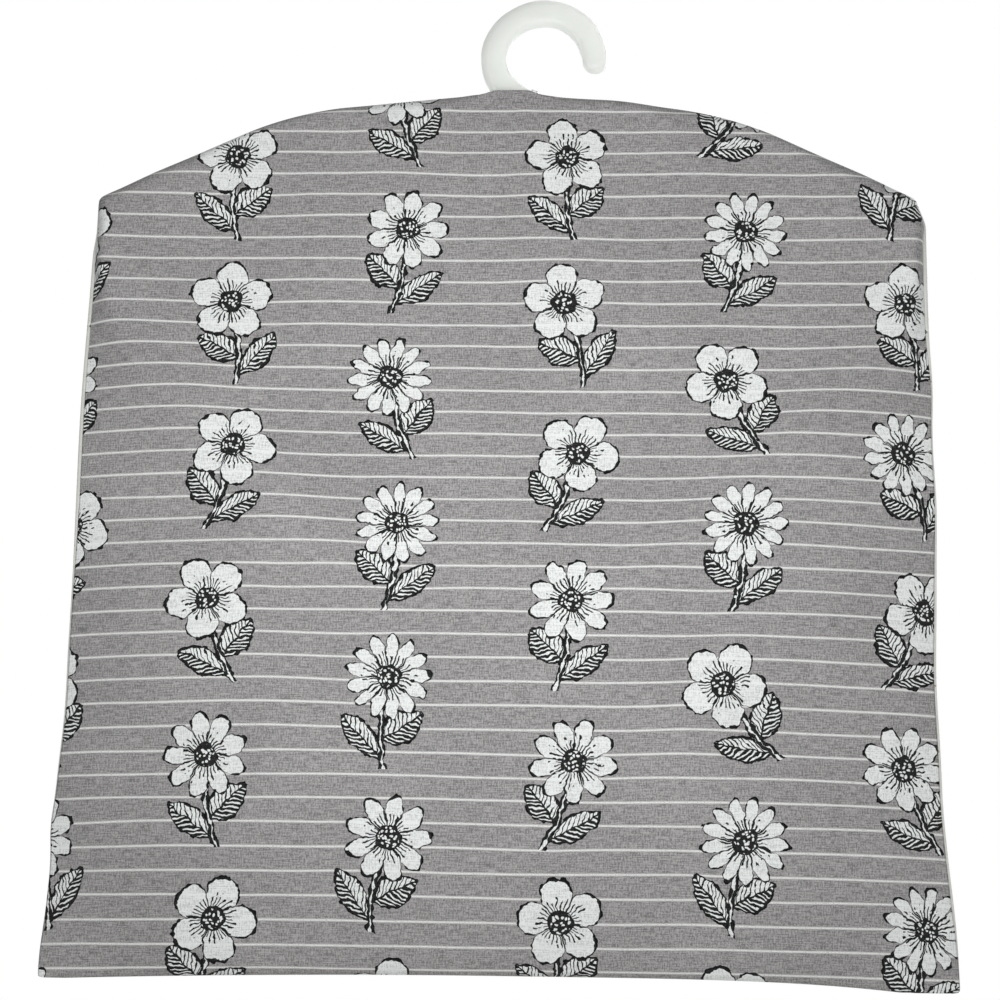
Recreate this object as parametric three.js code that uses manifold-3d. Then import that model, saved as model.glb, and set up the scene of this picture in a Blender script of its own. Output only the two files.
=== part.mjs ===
// Peg bag on a plastic hanger.
// A cotton bag hangs over the two arms of a one-piece hanger. The hook comes out of a gap in the
// middle of the top seam. The front is one striped panel. The back has a yoke above and a pocket
// below, and pegs go in through the mouth between them.
// Millimetres, +Z up, front face towards -Y, origin under the crown of the hook where a line sits.

import * as THREE from "three";
import { mergeVertices } from "three/addons/utils/BufferGeometryUtils.js";
import Module from "manifold-3d";

const wasm = await Module();
wasm.setup();

// Hanger arms
const hangerWidth = 300; // tip to tip
const armThickness = 8; // front to back
const armDepthNeck = 16; // height of an arm beside the neck
const armDepthTip = 10; // height of an arm at its tip
const neckSlope = 6; // degrees, fall of the shoulder beside the neck
const tipSlope = 25; // degrees, fall of the shoulder towards the tip
const bendPlace = 80.5; // from the centre line to the middle of the bend
const bendLength = 42; // length over which the slope changes
const armEdge = 0.8; // chamfer on the long edges of the arms
const recessRim = 2.4; // rim left round the hollows in the arms
const recessWeb = 2.4; // wall left between a front and a back hollow
const recessBays = 3; // hollows along one arm
const recessStart = 34; // from the centre line to the first hollow
const recessEnd = 12; // from the last hollow to the tip

// Hook
const hookInner = 14.1; // radius inside the hook
const hookBar = 9.9; // width of the bar seen from the front
const hookTipBar = 8.8; // width of the bar at the tip
const hookThickness = 6; // front to back
const hookOffset = 12; // hook centre to the right of the bag's centre line
const hookRise = 17; // hook centre above the crown of the arms
const hookTipAngle = -4; // degrees, start of the tip's rounding on the right limb
const hookTaperAngle = 60; // degrees, start of the narrowing towards the tip
const hookRootAngle = 262; // degrees, where the ring runs into the arms
const hookEdge = 1.5; // rounding of the hook's edges
const seatFlat = 3; // flat under the crown

// Bag
const clothThickness = 0.8;
const seamGap = 0.3; // between two sewn edges
const armClearance = 0.6; // between the arms' faces and the cloth
const seatClearance = 0.4; // between the arms' top edges and the cloth
const hookClearance = 0.4; // between the hook's faces and the neck gap
const tipClearance = 4.2; // between a hanger tip and the side of the bag
const bagHeight = 332; // neck to bottom seam
const bottomFlare = 8; // extra width at the bottom
const frontBelly = 11; // half depth inside, in front of the seam plane
const backBelly = 17; // half depth inside, behind the seam plane
const bellyDrop = 190; // from the neck to the full depth
const sideRound = 70; // width over which the full depth closes to a side seam
const bottomRound = 60; // height over which the full depth closes to the bottom seam
const neckGap = 27; // open length of the top seam
const neckFlat = 16; // level length of the edge in front of the hook
const neckRise = 0.3; // level edge above the crown of the shoulder line
const neckClose = 12; // length over which each end of the gap closes
const liftTravel = 9; // how far the bag lifts off the arms

// Mouth and its bindings
const yokeCover = 36; // yoke hangs this far below the hanger tips
const mouthHeight = 60; // scoop of the pocket's lip at the centre
const mouthEnd = 4; // between the two lips at the side seams
const bindingWidth = 7;
const bindingThickness = 0.6;
const bindingSlack = 0.4; // between the binding and the cloth in its fold

// Folds of the slack pocket
const foldDip = 3.5; // a fold hangs across the pocket and dips in by this
const foldSag = 5.5; // below the fold, over the bottom seam, the cloth stands out by this
const foldWidth = 22; // from the middle of a fold to where it dies away
const foldLow = 74; // lowest point of the fold above the bottom seam
const foldEnd = 75; // ends of the fold below the yoke's edge
const foldReach = 140; // from the centre line to an end of the fold
const sagRise = 44; // middle of the sag above the bottom seam

// Thread
const threadDiameter = 0.8;
const threadClearance = 0.3; // between a topstitch and its binding
const seamInset = 1.5; // seam line inside a turned edge
const cornerGap = 14; // end of a seam's thread before a corner

// Facets
const roundSteps = 4; // grid steps round a turned edge
const bindingStart = 2; // grid steps from a side seam to the end of a binding
const frontSteps = 12; // grid steps down the front
const yokeSteps = 5;
const pocketSteps = 12;
const hookSteps = 30;
const tipSteps = 6;
const armSteps = 14; // steps along one arm
const threadSteps = 22;
const threadSides = 6;

const degrees = Math.PI / 180;
const slopeNeck = Math.tan(neckSlope * degrees);
const slopeTip = Math.tan(tipSlope * degrees);
const bendHalf = bendLength / 2;

// Fall of the shoulder line below its crown at a distance from the centre line.
function shoulderFall(x) {
  const past = Math.abs(x) - bendPlace;
  let turned = Math.max(past, 0);
  if (Math.abs(past) < bendHalf) {
    turned = (past + bendHalf) ** 2 / (4 * bendHalf);
  }
  return slopeNeck * Math.abs(x) + (slopeTip - slopeNeck) * turned;
}

function smooth(from, to, value) {
  const share = THREE.MathUtils.clamp((value - from) / (to - from), 0, 1);
  return share * share * (3 - 2 * share);
}

// Heights below are measured from the crown of the bag's shoulder line, and x from its centre line.
// The turned top edge is a half circle of cloth over the arms.
const topDepth = Math.max(armThickness / 2 + armClearance, hookThickness / 2 + hookClearance);
const seatDip = topDepth - Math.sqrt(topDepth ** 2 - (armThickness / 2) ** 2);
const armTop = -(clothThickness + seatDip + seatClearance);
const tipX = hangerWidth / 2;
const tipTop = armTop - shoulderFall(tipX);
const tipBottom = tipTop - armDepthTip;
const shoulderHalf = tipX + tipClearance + clothThickness;
const shoulderZ = -shoulderFall(shoulderHalf);
const yokeEdge = tipBottom - yokeCover;
const fitBottom = tipBottom - liftTravel - threadDiameter;
const hookZ = armTop + hookRise;
const seatZ = hookZ + hookInner;

// Outline of the bag. Skin 0 is the inside of the cloth and skin 1 its outside.
function halfWidth(z, skin) {
  const share = THREE.MathUtils.clamp((shoulderZ - z) / (shoulderZ + bagHeight), 0, 1);
  return shoulderHalf + (bottomFlare / 2) * share ** 2 - (1 - skin) * clothThickness;
}

function topEdge(x, skin) {
  const level = 1 - smooth(neckFlat / 2, neckGap / 2, Math.abs(x));
  const outside = THREE.MathUtils.lerp(-shoulderFall(x), neckRise, level);
  return outside - (1 - skin) * clothThickness;
}

function bottomEdge(skin) {
  return -bagHeight + (1 - skin) * clothThickness;
}

function mouthEdge(x) {
  const share = x / halfWidth(yokeEdge, 1);
  return yokeEdge - mouthEnd - mouthHeight * Math.max(0, 1 - share ** 2);
}

// Length over which the cloth closes to a side seam, at a height.
function sideClose(z, skin) {
  const growth = smooth(fitBottom, -bellyDrop, z);
  return topDepth + (sideRound - topDepth) * growth + skin * clothThickness;
}

// Half depth of the bag at a height, before it closes to the seams.
function fullDepth(face, z, skin) {
  const belly = face < 0 ? frontBelly : backBelly;
  const growth = smooth(fitBottom, -bellyDrop, z);
  return topDepth + (belly - topDepth) * growth + skin * clothThickness;
}

// Folds of the pocket, outwards. One fold hangs from side to side like a swag, and below it the
// slack of the cloth stands out over the bottom.
function pocketFolds(x, z) {
  const outer = smooth(0, foldReach, Math.abs(x));
  const fold = THREE.MathUtils.lerp(-bagHeight + foldLow, yokeEdge - foldEnd, outer);
  const near = (line) => Math.exp(-(((z - line) / foldWidth) ** 2));
  return foldSag * (1 - outer) * near(-bagHeight + sagRise) - foldDip * near(fold);
}

const noFolds = () => 0;

// Half opening at the edges: a seam everywhere but at the neck, where the hook passes.
function edgeDepth(x, z, skin) {
  const closed = seamGap / 2;
  const open = hookThickness / 2 + hookClearance + skin * clothThickness;
  const across = 1 - smooth(neckGap / 2, neckGap / 2 + neckClose, Math.abs(x));
  const down = 1 - smooth(neckClose, 2 * neckClose, -z);
  return closed + (open - closed) * across * down;
}

// Grid columns run from the left seam to the right one. They are close together round the turned
// edges, at the neck gap and at the bend of the shoulders.
const flatHalf = shoulderHalf - clothThickness - topDepth;
const stations = [
  neckFlat / 2,
  neckGap / 2,
  neckGap / 2 + neckClose / 2,
  neckGap / 2 + neckClose,
  bendPlace - bendHalf,
  bendPlace - bendHalf / 2,
  bendPlace,
  bendPlace + bendHalf / 2,
  bendPlace + bendHalf,
  (bendPlace + bendHalf + flatHalf) / 2,
];

function panelColumns() {
  const columns = [];
  for (let i = 0; i <= roundSteps; i += 1) {
    columns.push({ side: -1, turn: (i / roundSteps) * 90 * degrees });
  }
  for (const station of [...stations].reverse()) {
    columns.push({ side: 0, share: -station / flatHalf });
  }
  columns.push({ side: 0, share: 0 });
  for (const station of stations) {
    columns.push({ side: 0, share: station / flatHalf });
  }
  for (let i = roundSteps; i >= 0; i -= 1) {
    columns.push({ side: 1, turn: (i / roundSteps) * 90 * degrees });
  }
  return columns;
}

function columnPlace(column, z, skin) {
  const half = halfWidth(z, skin);
  const close = sideClose(z, skin);
  if (column.side === 0) {
    return { x: column.share * (half - close), fullness: 1 };
  }
  const x = column.side * (half - close * (1 - Math.cos(column.turn)));
  return { x, fullness: Math.sin(column.turn) };
}

// Grid rows run from the top down. A row is in the turned top, between two edges or in the bottom.
function turnedTop() {
  const rows = [];
  for (let i = 0; i <= roundSteps; i += 1) {
    const turn = (i / roundSteps) * 90 * degrees;
    rows.push((x, skin) => {
      const round = topDepth + skin * clothThickness;
      return { z: topEdge(x, skin) - round * (1 - Math.cos(turn)), fullness: Math.sin(turn) };
    });
  }
  return rows;
}

function turnedBottom() {
  const rows = [];
  for (let i = roundSteps; i >= 0; i -= 1) {
    const turn = (i / roundSteps) * 90 * degrees;
    rows.push((x, skin) => {
      const round = bottomRound + skin * clothThickness;
      return { z: bottomEdge(skin) + round * (1 - Math.cos(turn)), fullness: Math.sin(turn) };
    });
  }
  return rows;
}

const topInner = (x) => topEdge(x, 0) - topDepth;
const bottomInner = () => bottomEdge(0) + bottomRound;

// Rows between an upper and a lower line, with or without the lines themselves.
function rowsBetween(upper, lower, steps, first, last) {
  const rows = [];
  for (let i = first; i <= last; i += 1) {
    rows.push((x) => {
      const high = upper(x);
      return { z: high + (lower(x) - high) * (i / steps), fullness: 1 };
    });
  }
  return rows;
}

function skinPoint(face, skin, column, row, folds) {
  let place = { x: 0, fullness: 1 };
  let level = { z: shoulderZ, fullness: 1 };
  for (let i = 0; i < 6; i += 1) {
    place = columnPlace(column, level.z, skin);
    level = row(place.x, skin);
  }
  const edge = edgeDepth(place.x, level.z, skin);
  const full = fullDepth(face, level.z, skin) + folds(place.x, level.z);
  const depth = edge + (full - edge) * place.fullness * level.fullness;
  return new THREE.Vector3(place.x, face * depth, level.z);
}

// One closed body from points and triangles, turned to face outwards.
function closedBody(points, triangles) {
  let volume = 0;
  const cross = new THREE.Vector3();
  for (const [a, b, c] of triangles) {
    volume += points[a].dot(cross.crossVectors(points[b], points[c]));
  }
  const order = volume < 0 ? triangles.map(([a, b, c]) => [a, c, b]) : triangles;
  const geometry = new THREE.BufferGeometry().setFromPoints(points);
  geometry.setIndex(order.flat());
  geometry.computeVertexNormals();
  return geometry;
}

// Cloth between two skins that share a grid. Its cells are split towards the nearest corner.
function panelGrid(face, rows, folds) {
  const columns = panelColumns();
  return [0, 1].map((skin) =>
    rows.map((row) => columns.map((column) => skinPoint(face, skin, column, row, folds))),
  );
}

function panelBody(grid) {
  const rows = grid[0].length;
  const columns = grid[0][0].length;
  const points = grid.flat(2);
  const index = (skin, row, column) => (skin * rows + row) * columns + column;
  const triangles = [];
  const quad = (a, b, c, d) => triangles.push([a, b, c], [a, c, d]);
  for (let r = 0; r + 1 < rows; r += 1) {
    for (let c = 0; c + 1 < columns; c += 1) {
      const corners = [[r, c], [r, c + 1], [r + 1, c + 1], [r + 1, c]];
      if (r < rows / 2 !== c < columns / 2) {
        corners.push(corners.shift());
      }
      quad(...corners.map(([row, column]) => index(1, row, column)));
      corners.reverse();
      corners.unshift(corners.pop());
      quad(...corners.map(([row, column]) => index(0, row, column)));
    }
    const end = columns - 1;
    quad(index(0, r, 0), index(1, r, 0), index(1, r + 1, 0), index(0, r + 1, 0));
    quad(index(1, r, end), index(0, r, end), index(0, r + 1, end), index(1, r + 1, end));
  }
  for (let c = 0; c + 1 < columns; c += 1) {
    const end = rows - 1;
    quad(index(0, 0, c), index(0, 0, c + 1), index(1, 0, c + 1), index(1, 0, c));
    quad(index(1, end, c), index(1, end, c + 1), index(0, end, c + 1), index(0, end, c));
  }
  return closedBody(points, triangles);
}

// A profile carried along a row of frames, closed at both ends.
function sweptBody(frames, profile) {
  const count = profile.length;
  const points = [];
  for (const frame of frames) {
    for (const [along, out] of profile) {
      points.push(frame.point.clone().addScaledVector(frame.edge, along).addScaledVector(frame.out, out));
    }
  }
  const triangles = [];
  for (let i = 0; i + 1 < frames.length; i += 1) {
    for (let k = 0; k < count; k += 1) {
      const next = (k + 1) % count;
      const a = i * count + k;
      const b = i * count + next;
      triangles.push([a, b, b + count], [a, b + count, a + count]);
    }
  }
  const flat = profile.map(([along, out]) => new THREE.Vector2(along, out));
  const last = (frames.length - 1) * count;
  for (const [a, b, c] of THREE.ShapeUtils.triangulateShape(flat, [])) {
    triangles.push([a, c, b], [last + a, last + b, last + c]);
  }
  return closedBody(points, triangles);
}

// Frames along a lip of the mouth: a point in the middle of the cloth, the way along the cloth out
// of its edge, stretched where that way is slanted, and the way out of its face.
function lipFrames(grid, lipRow, nextRow) {
  const middle = (row, column) => grid[0][row][column].clone().lerp(grid[1][row][column], 0.5);
  const frames = [];
  const first = bindingStart;
  const last = grid[0][0].length - 1 - bindingStart;
  for (let c = first; c <= last; c += 1) {
    const point = middle(lipRow, c);
    const ahead = middle(lipRow, Math.min(c + 1, last));
    const run = ahead.sub(middle(lipRow, Math.max(c - 1, first))).normalize();
    const edge = point.clone().sub(middle(nextRow, c)).normalize();
    const out = new THREE.Vector3().crossVectors(run, edge);
    edge.divideScalar(out.length());
    out.normalize().multiplyScalar(Math.sign(out.y));
    frames.push({ point, edge, out });
  }
  return frames;
}

const foldInner = clothThickness / 2 + bindingSlack;
const foldOuter = foldInner + bindingThickness;

function bindingBody(frames) {
  const profile = [
    [-bindingWidth, -foldOuter],
    [bindingSlack + bindingThickness, -foldOuter],
    [bindingSlack + bindingThickness, foldOuter],
    [-bindingWidth, foldOuter],
    [-bindingWidth, foldInner],
    [bindingSlack, foldInner],
    [bindingSlack, -foldInner],
    [-bindingWidth, -foldInner],
  ];
  return sweptBody(frames, profile);
}

// A thread is a round tube along a smooth path.
function threadBody(points) {
  const shape = new THREE.Shape();
  for (let i = 0; i < threadSides; i += 1) {
    const angle = (i / threadSides) * 360 * degrees;
    const x = (threadDiameter / 2) * Math.cos(angle);
    const y = (threadDiameter / 2) * Math.sin(angle);
    if (i === 0) {
      shape.moveTo(x, y);
    } else {
      shape.lineTo(x, y);
    }
  }
  shape.closePath();
  const extrudePath = new THREE.CatmullRomCurve3(points);
  return new THREE.ExtrudeGeometry(shape, { steps: threadSteps, extrudePath });
}

// Along the top seam on one side, from the neck gap to the shoulder.
function shoulderThread(side) {
  const start = neckGap / 2 + neckClose;
  const points = [];
  for (let i = 0; i <= threadSteps; i += 1) {
    const x = start + ((flatHalf - start) * i) / threadSteps;
    points.push(new THREE.Vector3(side * x, 0, topEdge(x, 0) - seamInset));
  }
  return threadBody(points);
}

function sideThread(side) {
  const start = shoulderZ - cornerGap;
  const end = -bagHeight + cornerGap;
  const points = [];
  for (let i = 0; i <= threadSteps; i += 1) {
    const z = start + ((end - start) * i) / threadSteps;
    points.push(new THREE.Vector3(side * (halfWidth(z, 0) - seamInset), 0, z));
  }
  return threadBody(points);
}

function bottomThread() {
  const end = halfWidth(-bagHeight, 0) - cornerGap;
  const z = bottomEdge(0) + seamInset;
  return threadBody([-end, 0, end].map((x) => new THREE.Vector3(x, 0, z)));
}

// Topstitching down the middle of a binding, on the outside.
function bindingThread(frames) {
  const lift = foldOuter + threadClearance + threadDiameter / 2;
  const turned = roundSteps - bindingStart;
  const points = frames.slice(turned, frames.length - turned).map((frame) =>
    frame.point.clone().addScaledVector(frame.edge, -bindingWidth / 2).addScaledVector(frame.out, lift),
  );
  return threadBody(points);
}

// Hanger
function manifoldOf(geometry) {
  const bare = geometry.clone();
  bare.deleteAttribute("normal");
  bare.deleteAttribute("uv");
  const merged = mergeVertices(bare, 1e-4);
  const mesh = new wasm.Mesh({
    numProp: 3,
    vertProperties: new Float32Array(merged.attributes.position.array),
    triVerts: new Uint32Array(merged.index.array),
  });
  mesh.merge();
  return new wasm.Manifold(mesh);
}

function geometryOf(solid) {
  const mesh = solid.getMesh();
  const geometry = new THREE.BufferGeometry();
  geometry.setAttribute("position", new THREE.BufferAttribute(new Float32Array(mesh.vertProperties), 3));
  geometry.setIndex(new THREE.BufferAttribute(new Uint32Array(mesh.triVerts), 1));
  geometry.computeVertexNormals();
  return geometry;
}

// A plate drawn in the XZ plane, centred on y = 0 or pushed along y, with chamfered edges.
function plate(shape, thickness, edge, edgeSteps, centreY) {
  const geometry = new THREE.ExtrudeGeometry(shape, {
    depth: thickness - 2 * edge,
    bevelEnabled: edge > 0,
    bevelThickness: edge,
    bevelSize: edge,
    bevelOffset: -edge,
    bevelSegments: edgeSteps,
    curveSegments: 8,
  });
  geometry.translate(0, 0, edge - thickness / 2);
  geometry.rotateX(90 * degrees);
  geometry.translate(0, centreY, 0);
  return manifoldOf(geometry);
}

function armHeight(x) {
  return armDepthNeck + (armDepthTip - armDepthNeck) * (Math.abs(x) / tipX);
}

const armTopAt = (x) => armTop - shoulderFall(x);
const armBottomAt = (x) => armTopAt(x) - armHeight(x);

function armsShape() {
  const shape = new THREE.Shape();
  const flatEnd = tipX - armDepthTip / 2;
  shape.moveTo(-flatEnd, armTopAt(flatEnd));
  for (let i = 1; i <= 2 * armSteps; i += 1) {
    const x = flatEnd * (i / armSteps - 1);
    shape.lineTo(x, armTopAt(x));
  }
  const top = armTopAt(flatEnd);
  const bottom = armBottomAt(flatEnd);
  const pull = flatEnd + ((tipX - flatEnd) * 4) / 3;
  shape.bezierCurveTo(pull, tipTop, pull, tipBottom, flatEnd, bottom);
  for (let i = 1; i <= 2 * armSteps; i += 1) {
    const x = flatEnd * (1 - i / armSteps);
    shape.lineTo(x, armBottomAt(x));
  }
  shape.bezierCurveTo(-pull, tipBottom, -pull, tipTop, -flatEnd, top);
  return shape;
}

// A hollow in one face of an arm, between two distances from the centre line.
function recess(side, face, from, to) {
  const steps = 4;
  const upper = [];
  const lower = [];
  for (let i = 0; i <= steps; i += 1) {
    const x = from + ((to - from) * i) / steps;
    upper.push([side * x, armTopAt(x) - recessRim]);
    lower.unshift([side * x, armBottomAt(x) + recessRim]);
  }
  const shape = new THREE.Shape(upper.concat(lower).map(([x, z]) => new THREE.Vector2(x, z)));
  return plate(shape, armThickness - recessWeb, 0, 1, (face * armThickness) / 2);
}

function armsBody() {
  let arms = plate(armsShape(), armThickness, armEdge, 1, 0);
  const bay = (tipX - recessEnd - recessStart + recessRim) / recessBays;
  for (const side of [-1, 1]) {
    for (const face of [-1, 1]) {
      for (let i = 0; i < recessBays; i += 1) {
        const from = recessStart + i * bay;
        arms = arms.subtract(recess(side, face, from, from + bay - recessRim));
      }
    }
  }
  return arms;
}

// The hook is a ring from the tip over the crown and down the left, into the arms.
function hookBody() {
  const outer = hookInner + hookBar;
  const tip = hookTipAngle * degrees;
  const root = hookRootAngle * degrees;
  const seat = Math.atan(seatFlat / 2 / hookInner);
  const inner = Math.hypot(seatFlat / 2, hookInner);
  const shape = new THREE.Shape();
  const at = (radius, angle) => [hookOffset + radius * Math.cos(angle), hookZ + radius * Math.sin(angle)];
  shape.moveTo(...at(outer, tip));
  for (let i = 1; i <= hookSteps; i += 1) {
    shape.lineTo(...at(outer, tip + ((root - tip) * i) / hookSteps));
  }
  const past = 90 * degrees + seat;
  const before = 90 * degrees - seat;
  const leftSteps = Math.round((hookSteps * (root - past)) / (root - tip));
  for (let i = 0; i <= leftSteps; i += 1) {
    shape.lineTo(...at(inner, root + ((past - root) * i) / leftSteps));
  }
  const rightSteps = hookSteps - leftSteps;
  for (let i = 0; i <= rightSteps; i += 1) {
    const angle = before + ((tip - before) * i) / rightSteps;
    const narrowing = (hookBar - hookTipBar) * smooth(hookTaperAngle * degrees, tip, angle);
    shape.lineTo(...at(inner + narrowing, angle));
  }
  const tipHalf = hookTipBar / 2;
  for (let i = 1; i < tipSteps; i += 1) {
    const turn = (i / tipSteps) * 180 * degrees;
    const [x, z] = at(outer - tipHalf - tipHalf * Math.cos(turn), tip);
    const reach = tipHalf * Math.sin(turn);
    shape.lineTo(x + reach * Math.sin(tip), z - reach * Math.cos(tip));
  }
  shape.closePath();
  return plate(shape, hookThickness, hookEdge, 2, 0);
}

// Gusset under the cloth between the ring's lower end and the right arm.
function neckBody() {
  const shape = new THREE.Shape();
  const reach = hookOffset + hookInner;
  shape.moveTo(-hookOffset / 2, armTop - armDepthNeck / 2);
  shape.lineTo(-hookOffset / 2, armTop);
  shape.lineTo(hookOffset, armTop);
  shape.lineTo(reach, armTopAt(reach) - armEdge);
  shape.lineTo(reach, armTop - armDepthNeck / 2);
  shape.closePath();
  return plate(shape, hookThickness, 0, 1, 0);
}

function hangerBody() {
  return geometryOf(armsBody().add(hookBody()).add(neckBody()));
}

// Materials
const plastic = (name) => new THREE.MeshStandardMaterial({ name, color: 0xe9ede8, roughness: 0.35 });
const cloth = (name, color) => new THREE.MeshStandardMaterial({ name, color, roughness: 0.9 });

// Assembly
const part = new THREE.Group();
part.name = "peg_bag";
const bag = new THREE.Group();
bag.name = "hung_bag";
bag.position.set(-hookOffset, 0, -seatZ);
part.add(bag);

function place(name, geometry, material) {
  const mesh = new THREE.Mesh(geometry, material);
  mesh.name = name;
  bag.add(mesh);
}

const frontRows = [
  ...turnedTop(),
  ...rowsBetween(topInner, bottomInner, frontSteps, 1, frontSteps - 1),
  ...turnedBottom(),
];
const yokeRows = [...turnedTop(), ...rowsBetween(topInner, () => yokeEdge, yokeSteps, 1, yokeSteps)];
const pocketRows = [
  ...rowsBetween(mouthEdge, bottomInner, pocketSteps, 0, pocketSteps - 1),
  ...turnedBottom(),
];
const frontGrid = panelGrid(-1, frontRows, noFolds);
const yokeGrid = panelGrid(1, yokeRows, noFolds);
const pocketGrid = panelGrid(1, pocketRows, pocketFolds);
const yokeFrames = lipFrames(yokeGrid, yokeRows.length - 1, yokeRows.length - 2);
const pocketFrames = lipFrames(pocketGrid, 0, 1);

place("hanger", hangerBody(), plastic("white polypropylene"));
place("front_panel", panelBody(frontGrid), cloth("striped grey cotton", 0x979696));
place("back_yoke", panelBody(yokeGrid), cloth("off-white calico", 0xd9d8cc));
place("back_pocket", panelBody(pocketGrid), cloth("off-white calico", 0xd9d8cc));
place("yoke_binding", bindingBody(yokeFrames), cloth("grey bias tape", 0x8a8989));
place("pocket_binding", bindingBody(pocketFrames), cloth("grey bias tape", 0x8a8989));
place("left_side_seam_thread", sideThread(-1), cloth("grey polyester thread", 0xb8b7b4));
place("right_side_seam_thread", sideThread(1), cloth("grey polyester thread", 0xb8b7b4));
place("bottom_seam_thread", bottomThread(), cloth("grey polyester thread", 0xb8b7b4));
place("left_shoulder_seam_thread", shoulderThread(-1), cloth("grey polyester thread", 0xb8b7b4));
place("right_shoulder_seam_thread", shoulderThread(1), cloth("grey polyester thread", 0xb8b7b4));
place("yoke_binding_thread", bindingThread(yokeFrames), cloth("white polyester thread", 0xe8e7e2));
place("pocket_binding_thread", bindingThread(pocketFrames), cloth("white polyester thread", 0xe8e7e2));

export default part;
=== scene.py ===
# %% [markdown]
# # A cotton peg bag on a plastic hanger
#
# A peg bag is two layers of cotton sewn together round the sides, the bottom and the shoulders.
# It hangs over the two arms of a one-piece plastic hanger, whose hook comes out through a gap in
# the top seam. The front is one striped, printed panel. The back is plain calico in two parts, a
# yoke above and a pocket below, with the mouth for the pegs between them.
#
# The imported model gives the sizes. This lesson dresses it: each cloth panel is drawn from the same
# rules as its solid, with turned seams, slack, bindings and stitches added.

# %% Load the frame
import math
from types import SimpleNamespace

import bmesh
import bpy
import numpy as np
from mathutils import Matrix, Vector, geometry, noise


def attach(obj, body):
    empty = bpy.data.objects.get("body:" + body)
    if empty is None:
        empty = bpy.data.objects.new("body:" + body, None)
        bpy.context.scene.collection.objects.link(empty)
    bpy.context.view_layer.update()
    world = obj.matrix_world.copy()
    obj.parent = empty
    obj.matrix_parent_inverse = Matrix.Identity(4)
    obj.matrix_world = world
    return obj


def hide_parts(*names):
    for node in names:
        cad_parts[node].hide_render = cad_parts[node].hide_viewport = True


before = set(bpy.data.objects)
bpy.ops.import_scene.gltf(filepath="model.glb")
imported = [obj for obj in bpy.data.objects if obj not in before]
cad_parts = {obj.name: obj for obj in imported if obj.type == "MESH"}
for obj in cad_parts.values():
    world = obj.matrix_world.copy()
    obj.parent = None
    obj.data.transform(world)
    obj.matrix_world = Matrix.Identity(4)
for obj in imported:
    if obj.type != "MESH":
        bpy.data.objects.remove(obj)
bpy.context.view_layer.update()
MM = 0.001


def new_object(name, data):
    """A new object in the scene."""
    made = bpy.data.objects.new(name, data)
    bpy.context.scene.collection.objects.link(made)
    return made


# %% [markdown]
# ## Camera
#
# The photograph was taken from a little below the bag, close to square on. The place and the three
# turns below were found by fitting the outline of the model to the outline in the photograph. The
# sensor is square in use, so a lens of 100.8 mm on a 36 mm sensor gives 2800 pixels of focal length
# in a picture 1000 pixels wide.

# %% Camera
YAW, PITCH, ROLL = (math.radians(turn) for turn in (1.941, 15.158, 1.028))
CAMERA_PLACE = Vector((19.9, -980.45, -453.22)) * MM
LENS, SENSOR = 100.8, 36

forward = Vector((-math.sin(YAW) * math.cos(PITCH), math.cos(YAW) * math.cos(PITCH), math.sin(PITCH)))
level = Vector((math.cos(YAW), math.sin(YAW), 0))
rise = level.cross(forward)
right = level * math.cos(ROLL) + rise * math.sin(ROLL)
up = rise * math.cos(ROLL) - level * math.sin(ROLL)
camera_data = bpy.data.cameras.new("photo_camera")
camera_data.lens = LENS
camera_data.sensor_width = SENSOR
camera = new_object("photo_camera", camera_data)
camera.matrix_world = Matrix((right, up, -forward)).transposed().to_4x4()
camera.location = CAMERA_PLACE
bpy.context.scene.camera = camera
print("camera at", [round(v, 3) for v in camera.location])

# %% [markdown]
# ## Materials: small tools
#
# Every colour below is an sRGB hex value, as a paint program shows it. Blender's shaders work in
# linear light, so one function turns the first into the second. Another adds a node, gives it its
# settings and links its inputs. The rest of each finish is then a list of such nodes, from the top
# down, with sizes in millimetres. Map Range takes its value, the range that it comes from and the
# range that it goes to, in that order.

# %% Colour and node tools
def linear(hex_colour):
    """An sRGB hex colour as linear RGBA."""
    parts = [int(hex_colour[i:i + 2], 16) / 255 for i in (1, 3, 5)]
    return [c / 12.92 if c <= 0.04045 else ((c + 0.055) / 1.055) ** 2.4 for c in parts] + [1.0]


def add(tree, kind, *inputs, **settings):
    """A new node with its settings. A shader node's kind has no prefix, and an operation may follow it.
    The inputs, in order or in a dict, are values, nodes or sockets."""
    kind, _, operation = kind.partition(" ")
    made = tree.nodes.new(kind if "Node" in kind else "ShaderNode" + kind)
    if operation:
        made.operation = operation
    for name, value in settings.items():
        setattr(made, name, value)
    named = inputs[0] if inputs and isinstance(inputs[0], dict) else dict(enumerate(inputs))
    for key, value in named.items():
        if isinstance(value, bpy.types.Node):
            value = value.outputs[0]
        if isinstance(value, bpy.types.NodeSocket):
            tree.links.new(value, made.inputs[key])
        else:
            made.inputs[key].default_value = value
    return made


def new_material(name):
    """A new material and its empty node tree."""
    material = bpy.data.materials.new(name)
    material.use_nodes = True
    material.node_tree.nodes.clear()
    return material, material.node_tree


print("a middle grey in linear light:", [round(c, 3) for c in linear("#979696")[:3]])

# %% [markdown]
# ## Stage and light
#
# The bag hangs in the air, so the floor is well below it and only catches a soft shadow. The floor
# looks pale because a part of its colour is lit up for the camera alone, which puts no light on the
# bag. The world is white where the camera looks, and dimmer as a light. A low, wide soft box close
# in front of the bag makes the middle of the cloth brighter than its edges, as in the photograph. A
# weaker one fills from the right, and one behind the bag rakes across the folds of its back.

# %% Floor and world
FLOOR_HALF, FLOOR_HEIGHT, FLOOR_GLOW = 5.0, -0.64, 0.55
ROOM_LIGHT = 0.25
WHITE = (1, 1, 1, 1)


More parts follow.
